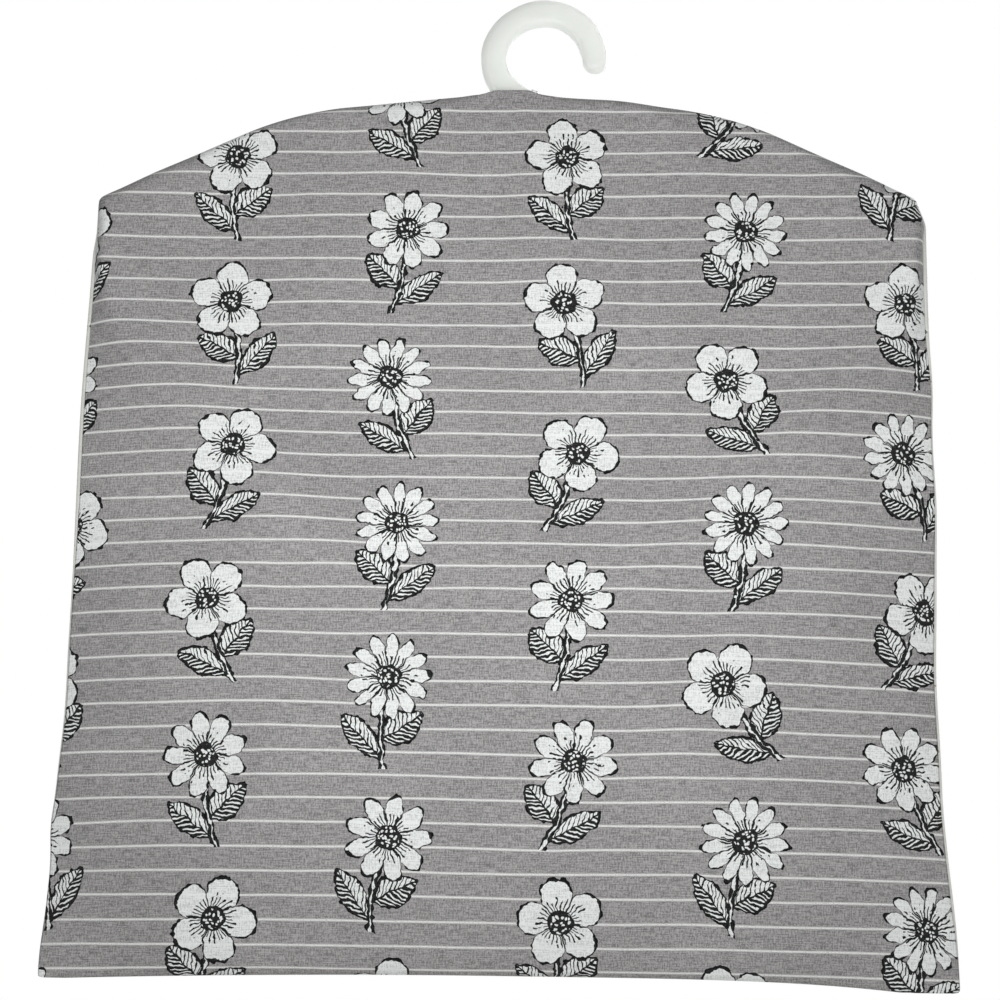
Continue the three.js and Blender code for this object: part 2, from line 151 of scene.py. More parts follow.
def looked_at(tree):
    """1 where the camera looks, straight on, by a reflection or through something clear."""
    path = add(tree, "LightPath")
    seen = path.outputs["Is Camera Ray"]
    for ray in ("Is Glossy Ray", "Is Transmission Ray"):
        seen = add(tree, "Math MAXIMUM", seen, path.outputs[ray]).outputs[0]
    return seen


floor_material, tree = new_material("matt_white_paper")
# Paper is matt, with a faint mottle from its fibres.
place = add(tree, "TexCoord").outputs["Object"]
mottle = add(tree, "TexNoise", {"Vector": place, "Scale": 1 / (25 * MM), "Detail": 3.0})
paper_colour = add(tree, "Mix", {0: mottle, 6: linear("#f3f3f1"), 7: linear("#f7f7f6")}, data_type="RGBA")
paper = add(tree, "BsdfPrincipled", {
    "Base Color": paper_colour.outputs[2], "Roughness": 0.95, "Specular IOR Level": 0.1})
lift = add(tree, "Math MULTIPLY", looked_at(tree), FLOOR_GLOW)
glow = add(tree, "Emission", {"Strength": lift})
lifted = add(tree, "AddShader", paper, glow)
add(tree, "OutputMaterial", lifted)

floor_mesh = bpy.data.meshes.new("floor")
corners = [(FLOOR_HALF * x, FLOOR_HALF * y, FLOOR_HEIGHT) for x, y in ((-1, -1), (1, -1), (1, 1), (-1, 1))]
floor_mesh.from_pydata(corners, [], [(0, 1, 2, 3)])
floor_mesh.materials.append(floor_material)
floor = new_object("floor", floor_mesh)

world = bpy.data.worlds.new("white_studio")
world.use_nodes = True
tree = world.node_tree
tree.nodes.clear()
dim_room = add(tree, "Background", WHITE, ROOM_LIGHT)
white_sweep = add(tree, "Background", WHITE, 1.0)
sky = add(tree, "MixShader", looked_at(tree), dim_room, white_sweep)
add(tree, "OutputWorld", sky)
bpy.context.scene.world = world
bpy.context.scene.view_settings.view_transform = "Standard"
print("floor at", FLOOR_HEIGHT, "m, world light", ROOM_LIGHT)

# %% Soft boxes
def soft_box(name, place, target, width, height, watts):
    """A rectangular area light that faces a target. Lengths are in metres."""
    lamp_data = bpy.data.lights.new(name, "AREA")
    lamp_data.energy = watts
    lamp_data.shape = "RECTANGLE"
    lamp_data.size = width
    lamp_data.size_y = height
    lamp = new_object(name, lamp_data)
    lamp.location = place
    lamp.visible_camera = False
    lamp.rotation_mode = "QUATERNION"
    lamp.rotation_quaternion = (Vector(target) - Vector(place)).to_track_quat("-Z", "Y")


BAG_MIDDLE = (-0.02, 0, -0.2)
soft_box("key_box", (-0.02, -0.36, -0.18), (-0.02, 0, -0.18), 0.26, 0.06, 0.91)
soft_box("fill_box", (0.9, -1.2, 0.1), BAG_MIDDLE, 0.8, 0.8, 1.0)
soft_box("back_box", (0.85, 1.05, 0.55), BAG_MIDDLE, 0.7, 0.7, 19)
print("lamps:", [light.name for light in bpy.data.lights])

# %% [markdown]
# ## The outline of the bag
#
# All the cloth hangs from one outline. The shoulders fall gently beside the neck and more steeply
# past a bend, as the hanger's arms do. The sides flare a little, and the bottom edge bows: its
# corners hang a few millimetres lower than its middle. Heights are in millimetres from the crown of
# the shoulder line, negative below it, and x is measured from the bag's centre line. Small humps,
# each with a height, a place and a spread, give the seams the waver that sewing leaves.

# %% Shoulders and sides
CROWN = np.array((-12.0, 0.0, -27.572))
BEND, BEND_HALF = 80.5, 21.0
SLOPE_NECK, SLOPE_TIP = math.tan(math.radians(6)), math.tan(math.radians(25))
SHOULDER_HALF, BAG_HEIGHT, FLARE = 155.0, 332.0, 4.0
LEFT_WAVES = (
    (1.0, -124, 40), (-0.5, -205, 30), (-1.0, -240, 20), (1.0, -281, 9), (-0.5, -290, 20), (0.8, -327, 12))
RIGHT_WAVES = ((0.8, -116, 14), (0.8, -160, 18), (-1.7, -229, 30), (-1.0, -270, 18))
# How far each side draws in at its shoulder corner, and how far the right one swings out at its foot.
LEFT_IN, RIGHT_IN, RIGHT_OUT = 0.9, 3, 1.5


def smooth(start, end, value):
    """0 before the start, 1 past the end and a soft step between them."""
    share = np.clip((value - start) / (end - start), 0, 1)
    return share * share * (3 - 2 * share)


def waves(value, humps):
    """The height of some humps at a place."""
    return sum(height * np.exp(-((value - place) / spread_mm) ** 2) for height, place, spread_mm in humps)


def shoulder_fall(x):
    """How far the shoulder line lies below its crown."""
    past = np.abs(x) - BEND
    bent = (past + BEND_HALF) ** 2 / (4 * BEND_HALF)
    turned = np.where(np.abs(past) < BEND_HALF, bent, np.maximum(past, 0))
    return SLOPE_NECK * np.abs(x) + (SLOPE_TIP - SLOPE_NECK) * turned


SHOULDER_Z = -float(shoulder_fall(SHOULDER_HALF))


def half_width(z, side):
    """Half the bag's width. The sides flare and wave, and draw in at their ends."""
    share = np.clip((SHOULDER_Z - z) / (SHOULDER_Z + BAG_HEIGHT), 0, 1)
    left = waves(z, LEFT_WAVES) - LEFT_IN * smooth(-68, -56, z)
    drawn_in = RIGHT_IN * smooth(SHOULDER_Z - 11, SHOULDER_Z + 0.5, z)
    right = waves(z, RIGHT_WAVES) + RIGHT_OUT * smooth(-285, -322, z) - drawn_in
    return SHOULDER_HALF + FLARE * share ** 2 + np.where(side < 0, left, right)


print("shoulder corner at", round(SHOULDER_Z, 1), "mm")

# %% Top seam
SEAM_HALF, NECK_OPEN = 0.28, 4.3
# Where the gap at the neck closes, across and down, and where its edge stops being level.
NECK_ENDS, NECK_FOOT, NECK_LEVEL = (13.5, 21), (12, 24), (4.5, 12.5)
# The level part's middle and drop, the slack beside it, and the drop of the seam and of its ends.
NECK_MIDDLE, NECK_DROP, NECK_SLACK, SEAM_DROP, END_DROP = 0.6, 0.4, 0.27, 0.8, 0.7
SHOULDER_HUMP, ROOT_HUMP = (0.9, 42, 14), (0.8, 6.5, 3.5)
# Corner radius, first of the left side and then of the right.
SHOULDER_ROUNDS = (3.5, 3.0)


def neck_depth(x, z):
    """Half the gap between front and back at the seam: open at the neck, where the hook comes out."""
    across = 1 - smooth(*NECK_ENDS, np.abs(x))
    down = 1 - smooth(*NECK_FOOT, -z)
    return SEAM_HALF + (NECK_OPEN - SEAM_HALF) * across * down


def top_line(x):
    """The shoulder seam: level at the hook, slack beside it, then just above the arms' line."""
    level_part = 1 - smooth(*NECK_LEVEL, np.abs(x - NECK_MIDDLE))
    slack = NECK_SLACK * (neck_depth(x, 0) - SEAM_HALF) * (1 - level_part)
    drawn_in = END_DROP * smooth(130, 152, np.abs(x)) - waves(x, (SHOULDER_HUMP,))
    return -shoulder_fall(x) * (1 - level_part) - NECK_DROP * level_part - SEAM_DROP - slack - drawn_in


def top_edge(x):
    """The shoulder seam with its two corners rounded by circles that touch it and the side."""
    edge = top_line(x)
    slope = math.atan(SLOPE_TIP)
    for side, radius in zip((-1, 1), SHOULDER_ROUNDS):
        half = float(half_width(SHOULDER_Z, side))
        centre = float(top_line(side * half)) - radius * math.tan((math.pi / 2 - slope) / 2)
        into = np.clip(side * x - half + radius, 0, radius)
        rounded = centre + np.sqrt(radius ** 2 - into ** 2)
        edge = np.where(into > radius * math.sin(slope), rounded, edge)
    return edge


print("top seam at the neck:", round(float(top_edge(0.0)), 1), "mm")

# %% Bottom seam
BOTTOM = -331.0
# For the left side and the right: the bow's depth, end and power, and the corner's radius.
BOWS, FOOT_ROUNDS = ((3.0, 150, 2), (5.5, 141, 4)), (1.5, 1.6)


def bottom_edge(x):
    """The bottom seam, which bows down to two rounded corners."""
    bows = [drop * (np.minimum(np.abs(x), end) / SHOULDER_HALF) ** power for drop, end, power in BOWS]
    edge = BOTTOM - np.where(x < 0, *bows)
    for side, radius in zip((-1, 1), FOOT_ROUNDS):
        into = np.clip(side * x - float(half_width(BOTTOM, side)) + radius, 0, radius)
        edge = edge + radius - np.sqrt(radius ** 2 - into ** 2)
    return edge


print("bottom corner at", round(float(bottom_edge(SHOULDER_HALF + FLARE)), 1), "mm")

# %% Edges of the mouth
YOKE_EDGE, MOUTH_GAP, MOUTH_DROP, MOUTH_HALF = -90.4, 4.0, 60.0, 155.2
LIP_SINK, LIP_TUCK = 2.2, 1.9


def yoke_top(x):
    """The yoke stands up a little beside the hook's root."""
    return top_edge(x) + waves(x, (ROOT_HUMP,))


def yoke_lip(x):
    """The yoke's lower edge. Near the sides it sinks towards the pocket's lip and enters the same seam."""
    return YOKE_EDGE - LIP_SINK * smooth(118, 150, np.abs(x)) - LIP_TUCK * smooth(152.5, 155, np.abs(x))


def mouth_edge(x):
    """The pocket's scooped lip."""
    return YOKE_EDGE - MOUTH_GAP - MOUTH_DROP * np.maximum(0, 1 - (x / MOUTH_HALF) ** 2)


print("mouth from", YOKE_EDGE, "to", float(mouth_edge(0)), "mm")

# %% [markdown]
# ## The hang of the cloth
#
# Seen from the side the bag is slim over the arms and fuller lower down, deepest a little past the
# middle, and it closes to the seams with a soft turn. A real panel is cut a little larger than the
# bag: its edge turns in at the seam and runs on inside as the seam allowance, which is pressed to
# the back. Along the sides the seam has rolled to the front, so a narrow line of the calico back
# shows there.
#
# Each panel is a grid. Its columns and rows stand close together in the turned edges, and a few
# more make the allowance. The print and the weave follow a UV map that holds the flat cut in
# metres, measured along the cloth.

# %% Depth, roll and folds
# Half the bag's depth over the arms, at the front's belly and at the back's, and the belly's heights.
ARM_DEPTH, FRONT_BELLY, BACK_BELLY = 5.4, 11.8, 17.8
BELLY_START, BELLY_FULL = -64.2, -190
# Over what width, at the belly, and over what height the depth closes to the side and bottom seams.
SIDE_TURN, FOOT_TURN = 70.8, 60.8
# How far the side seam has rolled to the front, from 0 to 1, at depths below the crown.
LEFT_ROLL = ((46, 0.15), (62, 0.6), (77, 1.0), (160, 1.0), (195, 0.45), (240, 0.4), (300, 0.15))
RIGHT_ROLL = (
    (46, 0.15), (60, 1.0), (95, 1.0), (118, 0.4), (142, 0.4), (190, 0.62), (305, 0.62), (326, 0.15))
ROLL_IN, ROLL_FORWARD = 1.6, 0.9
# The pocket's folds: how high, how wide, the fold's lowest and end heights, its reach and the sag's height.
FOLD_DIP, FOLD_SAG, FOLD_WIDTH = -3.5, 5.5, 22
FOLD_LOW, FOLD_END, FOLD_REACH, SAG_HEIGHT = -258, YOKE_EDGE - 75, 140, -288


def roll_share(z, side):
    left, right = (np.interp(-z, *np.array(table).T) for table in (LEFT_ROLL, RIGHT_ROLL))
    return np.where(side < 0, left, right)


def to_belly(from_depth, full, z):
    """A depth that grows from the arms down to the belly."""
    return from_depth + (full - from_depth) * smooth(BELLY_START, BELLY_FULL, z)


def pocket_folds(x, z):
    """The main folds of the pocket: one hangs across it like a swag, and below it the slack stands out."""
    outer = smooth(0, FOLD_REACH, np.abs(x))
    fold = FOLD_LOW + (FOLD_END - FOLD_LOW) * outer
    return waves(z, ((FOLD_DIP, fold, FOLD_WIDTH), (FOLD_SAG * (1 - outer), SAG_HEIGHT, FOLD_WIDTH)))


print("belly in mm: front", FRONT_BELLY, "back", BACK_BELLY)

# %% Columns and rows
ALLOWANCE, TOP_ALLOWANCE = (0.5, 3.5, 7), (2.2, 1.2, 0.4)
TOP, FLAT, FOOT = 0, 1, 2
# Columns of a turned side and of the flat, how these close up to the middle, and turns of a rolled seam.
SIDE_STEPS, FLAT_STEPS, CLOSE_UP, ROLL_TURNS = 13, 117, 1.2, (90, 67, 45, 22)
TOP_STEPS, FOOT_STEPS = 11, 19


def panel_columns(rolled):
    """Columns from the left to the right: side, turn, share of the flat, roll and allowance."""
    left = [(-1, 0, 0, math.pi / 2 if rolled else 0, inset) for inset in reversed(ALLOWANCE)]
    left += [(-1, 0, 0, math.radians(roll), 0) for roll in (ROLL_TURNS if rolled else ())]
    left += [(-1, math.radians(turn), 0, 0, 0) for turn in np.linspace(0, 90, SIDE_STEPS)]
    shares = np.linspace(-1, 1, FLAT_STEPS)[1:-1]
    flat = [(0, math.pi / 2, np.sign(share) * abs(share) ** CLOSE_UP, 0, 0) for share in shares]
    right = [(1,) + column[1:] for column in reversed(left)]
    return np.array(left + flat + right).T


def panel_rows(top_turned, bottom_turned, count):
    """Rows from the top down: part of the panel, place in it and tuck of the allowance."""
    flat = np.linspace(0, 1, count + 1)[int(top_turned):count + 1 - int(bottom_turned)]
    rows = [(FLAT, share, 0) for share in flat]
    if top_turned:
        turned = [(TOP, math.radians(turn), 0) for turn in np.linspace(0, 90, TOP_STEPS)]
        rows = [(TOP, 0, tuck) for tuck in TOP_ALLOWANCE] + turned + rows
    if bottom_turned:
        rows += [(FOOT, math.radians(turn), 0) for turn in np.linspace(90, 0, FOOT_STEPS)]
        rows += [(FOOT, 0, tuck) for tuck in ALLOWANCE]
    return np.array(rows).T


print("columns of the front and of the back:", [panel_columns(rolled).shape[1] for rolled in (False, True)])

# %% Grid of a panel
# Half the gap between the two allowances, how much of them is clipped off at the corners, how far
# they lean to the back, and how far the hem at the neck turns in.
ALLOWANCE_HALF, CLIPPED, LEAN, HEM = 0.02, 9.0, 0.6, 0.7
# A first guess of half the width, and the rounds that better it.
FIRST_HALF, ROUNDS = 150, 8


def panel_grid(face, top, bottom, top_turned, bottom_turned, count, folds=None):
    """One panel: its grid in millimetres, its share of full depth, its allowance and its clipped corners."""
    rolled = face > 0
    side, turn, share, roll, inset = (value[None, :] for value in panel_columns(rolled))
    part, place, tuck = (value[:, None] for value in panel_rows(top_turned, bottom_turned, count))
    x = FIRST_HALF * np.where(side == 0, share, side) + 0 * place
    z = SHOULDER_Z + 0 * x
    # The width depends on the height, and the height on the place across, so both are found in rounds.
    for _ in range(ROUNDS):
        close = to_belly(ARM_DEPTH, SIDE_TURN, z)
        edge_in = ROLL_IN * roll_share(z, side) * ((1 - np.cos(roll)) if rolled else 1.0) * (side != 0)
        turned_in = (close - edge_in * (not rolled)) * (1 - np.cos(turn))
        turned_x = side * (half_width(z, side) - edge_in - inset - turned_in)
        middle = np.where(share < 0, half_width(z, -1), half_width(z, 1))
        x = np.where(side == 0, share * (middle - close), turned_x)
        upper, lower = top(x) - ARM_DEPTH * top_turned, bottom(x) + FOOT_TURN * bottom_turned
        at_top = top(x) - ARM_DEPTH * (1 - np.cos(place)) - tuck
        at_foot = bottom(x) + FOOT_TURN * (1 - np.cos(place)) + tuck
        z = np.where(part == TOP, at_top, np.where(part == FLAT, upper + (lower - upper) * place, at_foot))
    flatter = 1 + smooth(-58, -78, z) * (face < 0)
    fullness = np.sin(turn) ** flatter * np.where(part == FLAT, 1, np.sin(place))
    edge = neck_depth(x, z)
    hem = np.where((part == TOP) & (tuck > 0), np.minimum(HEM, edge - SEAM_HALF), 0)
    full = to_belly(ARM_DEPTH, FRONT_BELLY if face < 0 else BACK_BELLY, z) + (folds(x, z) if folds else 0)
    lapped = (inset > 0) | ((tuck > 0) & (part == FOOT))
    depth = np.where(lapped, ALLOWANCE_HALF, edge - hem + (full - edge) * fullness)
    rolled_y = ROLL_FORWARD * roll_share(z, side) * (1 - fullness) * (side != 0)
    lean = LEAN * smooth(0, 0.5, np.maximum(inset, tuck * (part == FOOT)))
    y = face * depth - rolled_y * (np.sin(roll) if rolled else 1) + lean
    by_top, by_bottom = top_turned & (z > top(x) - CLIPPED), bottom_turned & (z < bottom(x) + CLIPPED)
    by_side = np.abs(x) > half_width(z, np.sign(x)) - CLIPPED
    corner = ((inset > 0) & (by_top | by_bottom)) | ((tuck > 0) & by_side)
    allowance = (tuck > 0) | (inset > 0)
    points = np.stack((x, y, z), -1)
    return SimpleNamespace(face=face, points=points, fullness=fullness, allowance=allowance, corner=corner)


print("allowances lie", 2 * ALLOWANCE_HALF, "mm apart")

# %% Flat cuts of the three panels
def walked(points, axis):
    """The length walked along one axis of a grid, from its first point."""
    steps = np.linalg.norm(np.diff(points, axis=axis), axis=-1)
    return np.insert(np.cumsum(steps, axis), 0, 0, axis)


def flat_cut(points):
    """UV of a grid: the lengths along its rows and columns, in metres, from the centre line and the crown."""
    anchor, middle = points.shape[0] // 2, points.shape[1] // 2
    u = walked(points[..., :2], 1)
    u += points[:, middle:middle + 1, 0] - u[:, middle:middle + 1]
    v = -walked(points[..., 1:], 0)
    v += points[anchor, :, 2] - v[anchor]
    return np.stack((u, v), -1) * MM


panels = {
    "front": panel_grid(-1, top_edge, bottom_edge, True, True, 128),
    "yoke": panel_grid(1, yoke_top, yoke_lip, True, False, 36),
    "pocket": panel_grid(1, mouth_edge, bottom_edge, False, True, 100, pocket_folds),
}
for name, panel in panels.items():
    panel.cut = flat_cut(panel.points)
    panel.size = np.ptp(panel.cut.reshape(-1, 2), axis=0)
    print(name, "grid", panel.points.shape[:2], "flat cut in mm:", (panel.size / MM).round(0).tolist())

# %% [markdown]
# ## Slack
#
# Cotton that hangs isn't smooth. The panels are cut a little larger than the bag needs, and that
# slack settles into soft folds: down from the shoulders on the front, and in swags below the open
# lip of the pocket. Blender's cloth simulation finds such folds by itself. Each panel is pinned at
# its seams, grows by a few thousandths and hangs for thirty frames. The simulation works on every
# second point of the grid at ten times the size, where its stiffness values behave well, and what
# it moves is then spread over the whole grid.

# %% Cloth simulation
SIM_FRAMES, SIM_SCALE, SIM_GRAVITY = 30, 10, 0.3
COTTON = {
    "quality": 6, "mass": 0.1, "tension_stiffness": 80, "compression_stiffness": 80, "shear_stiffness": 32,
    "bending_stiffness": 3, "air_damping": 2, "vertex_group_mass": "sewn"}


def grid_faces(number):
    """Quads that join each point of a grid to its neighbours, where all four have a number."""
    quads = np.stack((number[:-1, :-1], number[1:, :-1], number[1:, 1:], number[:-1, 1:]), -1).reshape(-1, 4)
    return quads[quads.min(axis=1) >= 0].tolist()


def simulate(name, points, pinned, growth):
    """Where the points of a grid hang after a cloth simulation, in the grid's own units."""
    mesh = bpy.data.meshes.new(name)
    number = np.arange(pinned.size).reshape(pinned.shape)
    mesh.from_pydata([tuple(v) for v in points.reshape(-1, 3) * MM * SIM_SCALE], [], grid_faces(number))
    draft = new_object(name, mesh)
    sewn = draft.vertex_groups.new(name="sewn")
    sewn.add([int(i) for i in np.flatnonzero(pinned)], 1.0, "REPLACE")
    cloth = draft.modifiers.new("cotton", "CLOTH")
    for setting, value in COTTON.items():
        setattr(cloth.settings, setting, value)
    cloth.settings.shrink_min = -growth
    cloth.settings.effector_weights.gravity = SIM_GRAVITY
    cloth.collision_settings.use_collision = False
    cloth.collision_settings.use_self_collision = False
    cloth.point_cache.frame_start, cloth.point_cache.frame_end = 1, SIM_FRAMES
    for step in range(1, SIM_FRAMES + 1):
        bpy.context.scene.frame_set(step)
    hung = draft.evaluated_get(bpy.context.evaluated_depsgraph_get()).data
    places = np.empty(len(hung.vertices) * 3)
    hung.vertices.foreach_get("co", places)
    bpy.data.objects.remove(draft)
    bpy.context.scene.frame_set(1)
    return places.reshape(points.shape) / (MM * SIM_SCALE)


print("cotton settings:", COTTON)

# %% Arms under the cloth
# The hanger's arms: top of the crown, height beside the neck and at the tips, and half the width.
ARM_TOP, ARM_NECK, ARM_TIP, ARM_HALF = -3.528, 16, 10, 150


def arm_top(x):
    return ARM_TOP - shoulder_fall(x)


def arm_bottom(x):
    return arm_top(x) - (ARM_NECK - (ARM_NECK - ARM_TIP) * np.minimum(np.abs(x), ARM_HALF) / ARM_HALF)


print("arms from", ARM_TOP, "down to", round(float(arm_bottom(ARM_HALF)), 1), "mm")

# %% Hanging the panels
# A panel keeps this far from the middle plane, this much more over the arms, and changes between
# these distances from their lower edge.
LEAST_DEPTH, OVER_ARMS, ARMS_NEAR = 1.2, 3.6, (-22, -11)
# Points below this share of the full depth are held by the seams.
PINNED = 0.45


def spread(values, kept, count):
    """Values known at some indices of the first axis, filled in between them."""
    flat = values.reshape(len(kept), -1)
    filled = [np.interp(np.arange(count), kept, column) for column in flat.T]
    return np.stack(filled, -1).reshape((count,) + values.shape[1:])


def soften(values):
    """A small blur along both axes of a grid, which leaves its border alone."""
    soft = values.copy()
    soft[1:-1] = (values[:-2] + 2 * values[1:-1] + values[2:]) / 4
    both = soft.copy()
    both[:, 1:-1] = (soft[:, :-2] + 2 * soft[:, 1:-1] + soft[:, 2:]) / 4
    return both


def settle(name, panel, growth, held_top):
    """Where one panel hangs inside its seams, off the arms and off the other panel."""
    points, fullness, allowance = panel.points, panel.fullness, panel.allowance
    rows = np.flatnonzero(~allowance.all(axis=1))
    columns = np.flatnonzero(~allowance.all(axis=0) & (fullness.max(axis=0) > 0))
    kept_rows = np.unique(np.append(rows[::2], rows[-1]))
    kept_columns = np.unique(np.append(columns[::2], columns[-1]))
    coarse = points[np.ix_(kept_rows, kept_columns)]
    pinned = fullness[np.ix_(kept_rows, kept_columns)] < PINNED
    pinned[0] |= held_top
    moved = simulate(name, coarse, pinned, growth) - coarse
    moved = spread(moved, kept_rows - rows[0], len(rows))
    moved = spread(moved.swapaxes(0, 1), kept_columns - columns[0], len(columns)).swapaxes(0, 1)
    hung = points.copy()
    hung[np.ix_(rows, columns)] += soften(soften(moved))
    clear = LEAST_DEPTH + OVER_ARMS * smooth(*ARMS_NEAR, points[..., 2] - arm_bottom(points[..., 0]))
    least = np.minimum(np.abs(points[..., 1]), clear)
    kept_off = panel.face * np.maximum(panel.face * hung[..., 1], least)
    hung[..., 1] = np.where(fullness > 0, kept_off, hung[..., 1])
    return hung


# Each panel's growth, and whether its top row is held by a binding.
for name, growth, held_top in (("front", 0.003, False), ("yoke", 0.003, False), ("pocket", 0.002, True)):
    panel = panels[name]
    hung = settle(name, panel, growth, held_top)
    print(name, "moved by up to", round(float(np.abs(hung - panel.points).max()), 1), "mm")
    panel.points = hung

# %% [markdown]
# The simulation leaves out what is smaller than its grid, and what the cloth remembers: a fine
# rumple, small gathers where the thread draws a seam in, one wide soft fold across the lower front,
# and two short creases below its neck, where the cloth has been folded over the hanger. Noises,
# a ridge and two dents add them.

# %% Rumple, gathers and creases
# Each crease: its middle across and down the flat cut, slant, half length, strength of the painted shade
# along its line, lengths in mm.
CREASES = ((-13.0, -25.1, -0.12, 8.0, 0.2), (16.0, -27.5, 0.0, 6.5, 0.45))
# The dents' depth and width, and the width of the painted shade line along each crease, in mm.
CREASE_DEPTH, CREASE_WIDTH, CREASE_LINE = 0.4, 1.2, 0.45
# How high the waves, the crumple and the gathers are, and the steps of their noises.
WAVE, CRUMPLE, GATHER = 0.35, 0.2, 0.55
WAVE_STEPS, CRUMPLE_STEPS, GATHER_STEP = (45, 70), (19, 15), 5.5
# The soft fold: how far it stands out, its height, and how far it reaches up and down.
SWAG_OUT, SWAG_HEIGHT, SWAG_UP, SWAG_DOWN = 2.4, -236, -40, 22
# How much higher its ends are, where its middle is, and where below the top seam the rumple starts.
SWAG_BOW, SWAG_MIDDLE, RUMPLE_START = 9, -40, (-4, -22)


def rumple(panel, seed):
    """How far each point stands out of the settled cloth, in millimetres."""
    out = np.zeros(panel.points.shape[:2])
    for r, c in np.ndindex(*out.shape):
        x, _, z = panel.points[r, c]
        wave = noise.noise(Vector((x / WAVE_STEPS[0], z / WAVE_STEPS[1], seed)))
        crumple = noise.noise(Vector((x / CRUMPLE_STEPS[0], z / CRUMPLE_STEPS[1], seed + 13)))
        gather = noise.noise(Vector((z / GATHER_STEP, np.sign(x) * 3, seed + 19)))
        full = panel.fullness[r, c]
        out[r, c] = (WAVE * wave + CRUMPLE * crumple) * min(1, full * 1.15)
        out[r, c] += GATHER * gather * full * (1 - full) * (z < -60)
    x, z = panel.points[..., 0], panel.points[..., 2]
    if panel.face < 0:
        below_swag = SWAG_HEIGHT + SWAG_BOW * ((x - SWAG_MIDDLE) / ARM_HALF) ** 2 - z
        out += SWAG_OUT * smooth(SWAG_UP, 0, below_swag) * smooth(SWAG_DOWN, 0, below_swag) * panel.fullness
        for middle, height, slant, half, _ in CREASES:
            near = waves(z, ((1.0, height + slant * (x - middle), CREASE_WIDTH),))
            out -= CREASE_DEPTH * near * smooth(half, 0.6 * half, np.abs(x - middle))
    return out * smooth(*RUMPLE_START, z - top_edge(x))


for name, seed in (("front", 1.3), ("yoke", 4.1), ("pocket", 8.6)):
    panel = panels[name]
    panel.points[..., 1] += panel.face * rumple(panel, seed)
    print(name, "depth in mm:", round(float(np.abs(panel.points[..., 1]).max()), 2))

# %% [markdown]
# ## Printed cotton
#
# The front is a yarn-dyed cotton like chambray: grey and white yarns mix to a heathered grey, and
# every 8.45 mm a few white weft yarns make a thin stripe. A floral is printed over it in opaque
# white with black ink lines, drawn by hand. Its sprigs stand in a half-drop repeat: every second
# column is half a step lower, and each sprig leans and faces its own way.
#
# A print can be painted, cut as thin shapes or worked out in the shader. It is worked out here, in
# flat-cut millimetres, so it stays sharp at any size and follows the cloth over its folds.

# %% Cotton ground
STRIPE_PITCH, STRIPE_WIDTH, STRIPE_PLACE = 8.4476, 0.7, -18.18


def cloth_noise(tree, place, across, down, detail=2.0):
    """A flat noise of a given size across and down the cloth, in millimetres."""
    sized = add(tree, "Mapping", {"Vector": place, "Scale": (1 / across, 1 / down, 1)})
    return add(tree, "TexNoise", {"Vector": sized, "Scale": 1.0, "Detail": detail}, noise_dimensions="2D")


def stripe_distance(tree, height):
    """How far a height on the flat cut is from the middle of the nearest stripe, in millimetres."""
    raised = add(tree, "Math SUBTRACT", height, STRIPE_PLACE - STRIPE_PITCH / 2)
    step = add(tree, "Math FLOORED_MODULO", raised, STRIPE_PITCH)
    off = add(tree, "Math SUBTRACT", step, STRIPE_PITCH / 2)
    return add(tree, "Math ABSOLUTE", off)


printed_cotton, tree = new_material("printed_striped_cotton")
# Matt fibres and fine yarns: no gloss, a soft heathered grain and slubs along both yarns.
uv = add(tree, "UVMap", uv_map="flat_cut")
cloth_mm = add(tree, "VectorMath SCALE", {0: uv, "Scale": 1 / MM})
# Real yarns are about 0.3 mm apart. They are drawn about 0.4 mm apart so that they show in the render.
warp = cloth_noise(tree, cloth_mm, 0.42, 2.4)
weft = cloth_noise(tree, cloth_mm, 5.5, 0.38)
speck = cloth_noise(tree, cloth_mm, 0.6, 0.6)
patch = cloth_noise(tree, cloth_mm, 45.0, 45.0, 1.0)
yarns = add(tree, "Math ADD", warp, weft)
grain = add(tree, "Math ADD", yarns, speck)
heather = add(tree, "MapRange", grain, 1.18, 1.82, 0.0, 1.0)
ground = add(tree, "Mix", {0: heather, 6: linear("#7b7a7a"), 7: linear("#b6b4b4")}, data_type="RGBA")
faded = add(tree, "MapRange", patch, 0.3, 0.7, 0.96, 1.04)
ground_faded = add(tree, "VectorMath SCALE", {0: ground.outputs[2], "Scale": faded})
print("ground nodes:", len(tree.nodes))

# %% Woven stripes
# How far a stripe wanders, how ragged its edge is, and the height above which the turned top hides it.
DRIFT, RAGGED, FOLD_LINE = 1.2, 0.9, -4.0

across, down = add(tree, "SeparateXYZ", cloth_mm).outputs[:2]
drift = cloth_noise(tree, cloth_mm, 60.0, 22.0, 1.0)
drifted = add(tree, "Math MULTIPLY_ADD", drift, DRIFT, down)
drift_level = add(tree, "Math SUBTRACT", drifted, DRIFT / 2)
stripe_far = stripe_distance(tree, drift_level)
ragged = add(tree, "Math MULTIPLY_ADD", warp, RAGGED, -RAGGED / 2)
stripe_edge = add(tree, "Math ADD", stripe_far, ragged)
stripe = add(tree, "MapRange", stripe_edge, STRIPE_WIDTH / 2 + 0.22, STRIPE_WIDTH / 2 - 0.18, 0.0, 0.92)
# The stripe's yarns dip under the warp, which makes it nubby.
nubs = add(tree, "MapRange", warp, 0.3, 0.7, 0.6, 1.3)
below_fold = add(tree, "Math LESS_THAN", down, FOLD_LINE)
stripe_nubby = add(tree, "Math MULTIPLY", stripe, nubs)
stripe_shown = add(tree, "Math MULTIPLY", stripe_nubby, below_fold)
striped = add(tree, "Mix", {0: stripe_shown, 6: ground_faded, 7: linear("#f2f2f0")}, data_type="RGBA")
print("ground and stripe nodes:", len(tree.nodes))

